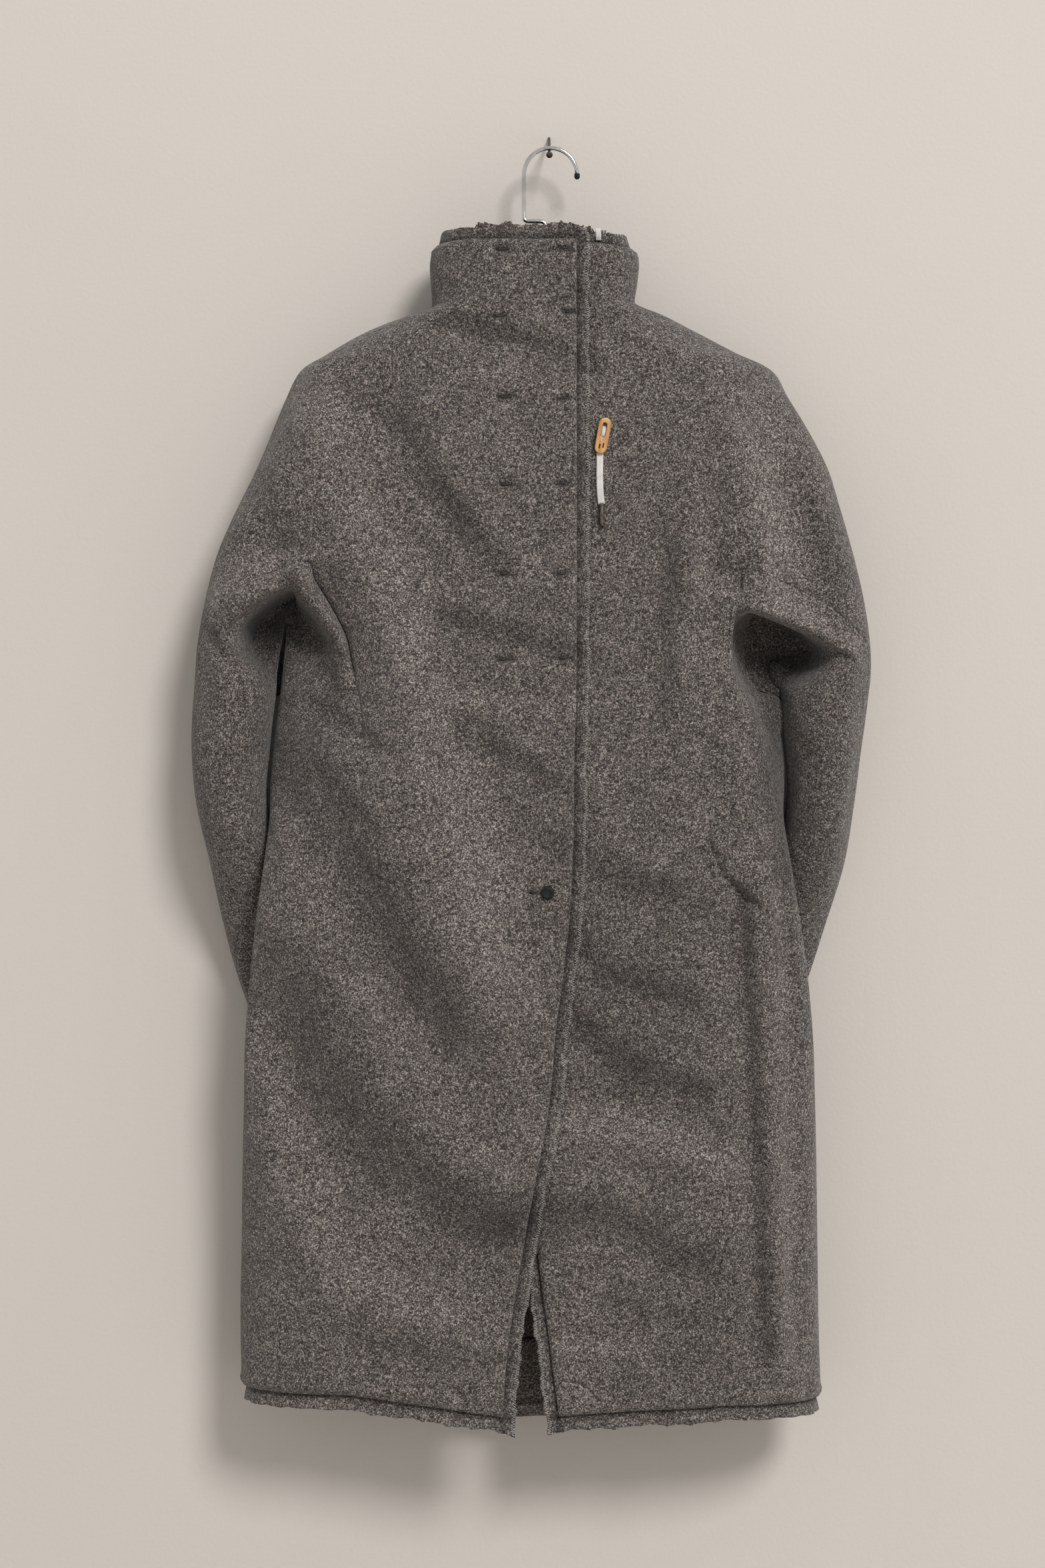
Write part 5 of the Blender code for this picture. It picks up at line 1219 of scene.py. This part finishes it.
def carried(node, name, material):
    # a copy of a CAD node's own mesh: corners merged, smooth across edges below 40 degrees
    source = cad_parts[node]
    mesh = source.data.copy()
    mesh.name = name
    mesh.transform(source.matrix_world)
    work = bmesh.new()
    work.from_mesh(mesh)
    bmesh.ops.remove_doubles(work, verts=work.verts[:], dist=1e-6)
    bmesh.ops.recalc_face_normals(work, faces=work.faces[:])
    work.to_mesh(mesh)
    work.free()
    mesh.polygons.foreach_set("use_smooth", np.ones(len(mesh.polygons), bool))
    mesh.set_sharp_from_angle(angle=math.radians(40))
    mesh.materials.clear()
    mesh.materials.append(material)
    obj = placed(name, mesh)
    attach(obj, "root")
    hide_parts(node)


carried("hook_wire", "hook_wire_chrome", finishes["chrome"])
carried("nail", "nail_steel", finishes["steel"])
carried("hook_tip", "hook_tip_cap", finishes["cap"])
carried("hanger", "hanger_bar", finishes["hanger"])

snapSet = dict(place=(-2.4, -684.0), reach=6.5, seat=-0.4, way=(0.02, -1, 0.02), sides=48,
               profile=[(-2.5, 5.3), (0.3, 5.75), (0.9, 6.0), (1.6, 5.9), (2.2, 5.3), (2.6, 4.2), (2.65, 3.4),
                        (2.35, 2.9), (2.3, 1.2)])   # distance out and radius
x, z = snapSet["place"]
seat = (x, snapSet["seat"] - clothOut("right", x, z, snapSet["reach"]), z)
snap = latheOf("snap_cap", snapSet["profile"], seat, snapSet["way"], snapSet["sides"], finishes["cap"])
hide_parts("snap")

# near-black beads in the buttonholes sewn shut and in the slit beside the snap: painted shadow inside the
# slits; a pad of cloth behind the turn of the left elbow's seam
holeSet = dict(half=(4.2, 0.85, 1.05), out=0.15, rings=5, sides=10)
padSet = dict(places=[(264.5, -31.0, -491.0)], half=(8.0, 8.5, 17.0), rings=8, sides=18)


def beads(name, places, half, rings, sides, material):
    # ball of rings between two poles on x, (cos b, sin b cos a, sin b sin a) times its half sizes: once for
    # each place
    a, b = 2 * math.pi * np.arange(sides) / sides, math.pi * np.arange(1, rings + 1)[:, None] / (rings + 1)
    ball = np.stack([np.cos(b) + 0 * a, np.sin(b) * np.cos(a), np.sin(b) * np.sin(a)], -1).reshape(-1, 3)
    ball = np.vstack([ball, [(1, 0, 0), (-1, 0, 0)]]) * half
    starts = np.arange(len(places))[:, None, None] * len(ball)
    faces = [(part + starts).reshape(-1, part.shape[1]) for part in ringFaces(sides, rings)]
    return newPiece(name, (places[:, None] + ball).reshape(-1, 3), faces, material)


def seatedOn(grid, x, z):
    # place on the cloth at x and z: the depths of the points round it, each weighing 1 / (1 + distance^2)^2,
    # the back left out
    weight = 1 / (1 + (grid[..., 0] - x) ** 2 + (grid[..., 2] - z) ** 2) ** 2
    weight = weight * (grid[..., 1] < -foldSet["frontFrom"])
    return x, float((weight * grid[..., 1]).sum() / weight.sum()), z


holes = np.array([seatedOn(layers["front", "right"][0], x, z) for x, z, _, _ in foldSet["holes"]])
beads("elbow_pad", np.array(padSet["places"]), padSet["half"], padSet["rings"], padSet["sides"], wool)
# near-black beads sunk in the slits: painted shadow
beads("buttonhole_slit_shadows", holes - (0, holeSet["out"], 0), holeSet["half"], holeSet["rings"],
      holeSet["sides"], finishes["slitShadow"])


def pillOutline(centre, long, wide, lean, count=48):
    # bar with round ends, leaning by degrees: x and z
    a = 2 * math.pi * (np.arange(count) + 0.5) / count
    x = wide / 2 * np.cos(a)
    z = wide / 2 * np.sin(a) + np.sign(np.sin(a)) * (long - wide) / 2
    turn = math.radians(lean)
    return np.stack([centre[0] + x * math.cos(turn) + z * math.sin(turn),
                     centre[1] - x * math.sin(turn) + z * math.cos(turn)], 1)


def loopsOf(name, loops, material, closed):
    # loops of (x, z) with their distance out, bridged in turn; joined last to first, or fanned at both ends
    count, total = len(loops[0][0]), len(loops)
    points = np.vstack([np.stack([q[:, 0], np.full(count, -h), q[:, 1]], 1) for q, h in loops])
    if not closed:
        points = np.vstack([points, points[:count].mean(0), points[-count:].mean(0)])
    return newPiece(name, points, ringFaces(count, total, turned=True, closed=closed), material)


toggleSet = dict(
    place=(46.3, -284.0), seat=1.6, long=32.0, wide=11.0, thick=4.5, lean=10.4,
    lower=[(0.6, 0.0), (0.15, 0.5), (0.0, 1.1)],   # its outline's inset, and how far up from the foot
    upper=[(0.0, 1.3), (0.2, 0.6), (0.7, 0.12), (1.2, 0.0)],   # inset, and how far down from the top
    slot=(0.9, 5.0, 13.0, 4.0), slotEdge=[(0.5, 0.0), (0.15, 0.15), (0.0, 0.5), (0.0, 4.5)],
    slits=[(-3.0, -9.3), (0.2, -8.7)], slit=(4.4, 1.3),   # places beside the middle, and their size
    slitEdge=[(1.0, 1.0, -0.35), (1.0, 1.0, 0.03), (0.94, 0.8, 0.05)])   # shares of that size, and how far up
x, z = toggleSet["place"]
out = clothOut("left", x, z) + toggleSet["seat"]
long, wide, thick, lean = (toggleSet[k] for k in ("long", "wide", "thick", "lean"))
edges = toggleSet["lower"] + [(inset, thick - down) for inset, down in toggleSet["upper"]]
loops = [(pillOutline((x, z), long - 2 * inset, wide - 2 * inset, lean), out + up) for inset, up in edges]
sx, sz, slotLong, slotWide = toggleSet["slot"]
for grow, down in toggleSet["slotEdge"]:
    loops.append((pillOutline((x + sx, z + sz), slotLong + 2 * grow, slotWide + 2 * grow, lean),
                  out + thick - down))
toggle = loopsOf("toggle_wood", loops, finishes["wood"], True)
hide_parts("toggle")
# near-black fills flush with the top stand for the shade inside the two small slits: painted shade
for k, (dx, dz) in enumerate(toggleSet["slits"]):
    size = toggleSet["slit"]
    loops = [(pillOutline((x + dx, z + dz), size[0] * a, size[1] * b, lean, 24), out + thick + up)
             for a, b, up in toggleSet["slitEdge"]]
    loopsOf("toggle_slit_shadow_%d" % (k + 1), loops, finishes["cap"], False)


def ribbonOf(name, route, wide, thick, material):
    # flat braid: a twelve-sided section, cos and sin each to the power 0.6, carried down a route of x, z, out
    route, count = np.asarray(route, float), 12
    wide = np.broadcast_to(wide, (len(route),))[:, None]
    a = 2 * math.pi * (np.arange(count) + 0.5) / count
    dx = np.sign(np.cos(a)) * np.abs(np.cos(a)) ** 0.6 * 0.5
    dh = np.sign(np.sin(a)) * np.abs(np.sin(a)) ** 0.6 * 0.5 * thick
    along = unit(np.gradient(route[:, :2], axis=0))
    xs = route[:, :1] - along[:, 1:] * dx * wide
    zs = route[:, 1:2] + along[:, :1] * dx * wide
    ys = -(route[:, 2:] + 0.5 * thick + dh)
    points = np.stack([xs, ys, zs], -1).reshape(-1, 3)
    points = np.vstack([points, points[:count].mean(0), points[-count:].mean(0)])
    return newPiece(name, points, ringFaces(count, len(route)), material)


def routeOf(knots, every):
    # smooth route through (x, z, lift) knots, lift counted from the left front's cloth
    knots = np.asarray(knots, float)
    t = np.arange(0, len(knots) - 1 + 1e-9, every)
    route = spline(knots, np.arange(len(knots), dtype=float), t)
    route[:, 2] += [clothOut("left", px, pz) for px, pz in route[:, :2]]
    return route


laceSet = dict(
    knots=[(47.6, -273.6, 0.2), (47.5, -276.5, 3.2), (47.0, -280.0, 4.3), (46.3, -284.0, 3.6),
           (45.7, -287.4, 0.5), (44.7, -295.0, 0.4), (43.7, -300.6, 0.9), (43.6, -308.0, 1.1),
           (43.5, -317.0, 0.8), (43.6, -326.0, 0.7), (44.1, -335.0, 0.7), (45.1, -344.0, 0.8)],
    every=0.25, narrow=3.5, wider=2.5, widenAt=(3.4, 5.0), thick=0.95,   # it widens between these knots
    tip=[(-0.6, 1.9), (0.0, 2.35), (1.0, 2.45), (2.2, 2.3), (3.0, 2.45), (15.5, 2.45), (16.3, 2.3),
         (17.2, 2.45), (18.6, 2.35), (19.2, 1.9)],   # distance down and radius
    tipOut=1.2, tipWay=(0.02, -0.02, -1), tipSides=28, core=0.5, cord=0.006,
    neck=(42.6, -99.5, 87.8), neckWide=4.8, neckThick=0.9,
    neckRoute=[(-0.3, 0.6, 0), (0, -2, 0), (0.3, -5, 0), (0.2, -10, 0)])
route = routeOf(laceSet["knots"], laceSet["every"])
share = np.linspace(0, len(laceSet["knots"]) - 1, len(route))
laceWide = laceSet["narrow"] + laceSet["wider"] * ramp(share, *laceSet["widenAt"])
lace = ribbonOf("lace_braid", route, laceWide, laceSet["thick"], finishes["lace"])
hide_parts("lace")
x, z, h = route[-1]
tip = latheOf("lace_tip_metal", laceSet["tip"], (x, -h - laceSet["tipOut"], z), laceSet["tipWay"],
              laceSet["tipSides"], finishes["tip"])
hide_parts("lace_tip")
centre = np.stack([route[:, 0], -route[:, 2] - laceSet["core"], route[:, 1]], 1) * mm
size = float(np.linalg.norm(np.diff(centre, axis=0), axis=1).sum())
neck = ribbonOf("neck_lace_braid", np.add(laceSet["neck"], laceSet["neckRoute"]), laceSet["neckWide"],
                laceSet["neckThick"], finishes["lace"])
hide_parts("neck_lace")
print("coat: trims made")


# frayed wool along the raw hem and collar: short tapered fibres, three sides each
frayFinish = flatFinish("frayedWool", 700.0, (0.07, 0.066, 0.062), (0.30, 0.29, 0.28), 0.95)
fraySet = dict(step=0.8, long=2.6, thick=0.13, levels=[(0, 1.0, 0.0), (0.5, 0.8, 0.16), (0.85, 0.4, 0.5)],
               tipBend=0.8)   # levels: share of the length, share of the thickness, bend


def fraction(n, seed):
    # repeatable numbers from 0 to 1: the fraction of a large sine
    return np.modf(np.abs(np.sin(n * 12.9898 + seed * 78.233) * 43758.5453))[0]


def fray(name, edge, into, up):
    # along the edge, each fibre starts a little inside, leans by its own fractions, and bends along the edge
    t = alongEdge(edge, fraySet["step"])
    base, into, up = atRows(edge, t), unit(atRows(into, t)), unit(atRows(up, t))
    n = np.arange(len(t), dtype=float)
    run = unit(np.gradient(base, axis=0))
    way = unit(-into + run * (fraction(n, 1) - 0.5)[:, None] * 2.2
               + up * (fraction(n, 2) - 0.45)[:, None] * 1.3)
    size = fraySet["long"] * (0.25 + fraction(n, 3) ** 2)[:, None]
    root = base + into * (0.5 + 0.8 * fraction(n, 4))[:, None] - up * (0.2 + 1.4 * fraction(n, 5))[:, None]
    one = unit(np.cross(way, up + 0.1))
    two = np.cross(way, one)
    rings = []
    for share, radius, bend in fraySet["levels"]:
        middle = root + way * size * share + run * size * bend * (fraction(n, 6) - 0.5)[:, None]
        for k in range(3):
            a = 2 * math.pi * k / 3
            rings.append(middle + (math.cos(a) * one + math.sin(a) * two) * fraySet["thick"] * radius)
    rings.append(root + way * size + run * size * fraySet["tipBend"] * (fraction(n, 6) - 0.5)[:, None])
    points = np.stack(rings, 1).reshape(-1, 3)
    first = (np.arange(len(t)) * 10)[:, None, None]
    sideFaces = [(3 * j + k, 3 * j + (k + 1) % 3, 3 * j + 3 + (k + 1) % 3, 3 * j + 3 + k)
                 for j in (0, 1) for k in range(3)]
    quads = (first + np.array(sideFaces)[None]).reshape(-1, 4)
    tips = (first + np.array([(6, 7, 9), (7, 8, 9), (8, 6, 9), (2, 1, 0)])[None]).reshape(-1, 3)
    return newPiece(name, points, [quads, tips], frayFinish)


low = int(colKnots[armCol]) + flangeSet["cells"]
for s in sides:
    grid, normals = inner[s]
    fray("frayed_hem_" + s, grid[-1, :low], grid[-4, :low] - grid[-1, :low], normals[-1, :low])
    fray("frayed_collar_" + s, grid[0], grid[3] - grid[0], normals[0])
grid, normals = inner["collar"]
fray("frayed_collar_back", grid[0], grid[3] - grid[0], normals[0])
grid, normals = inner["hem"]
fray("frayed_hem_back", grid[-1], grid[-4] - grid[-1], normals[-1])
print("coat: frayed edges made")


print("coat: done")
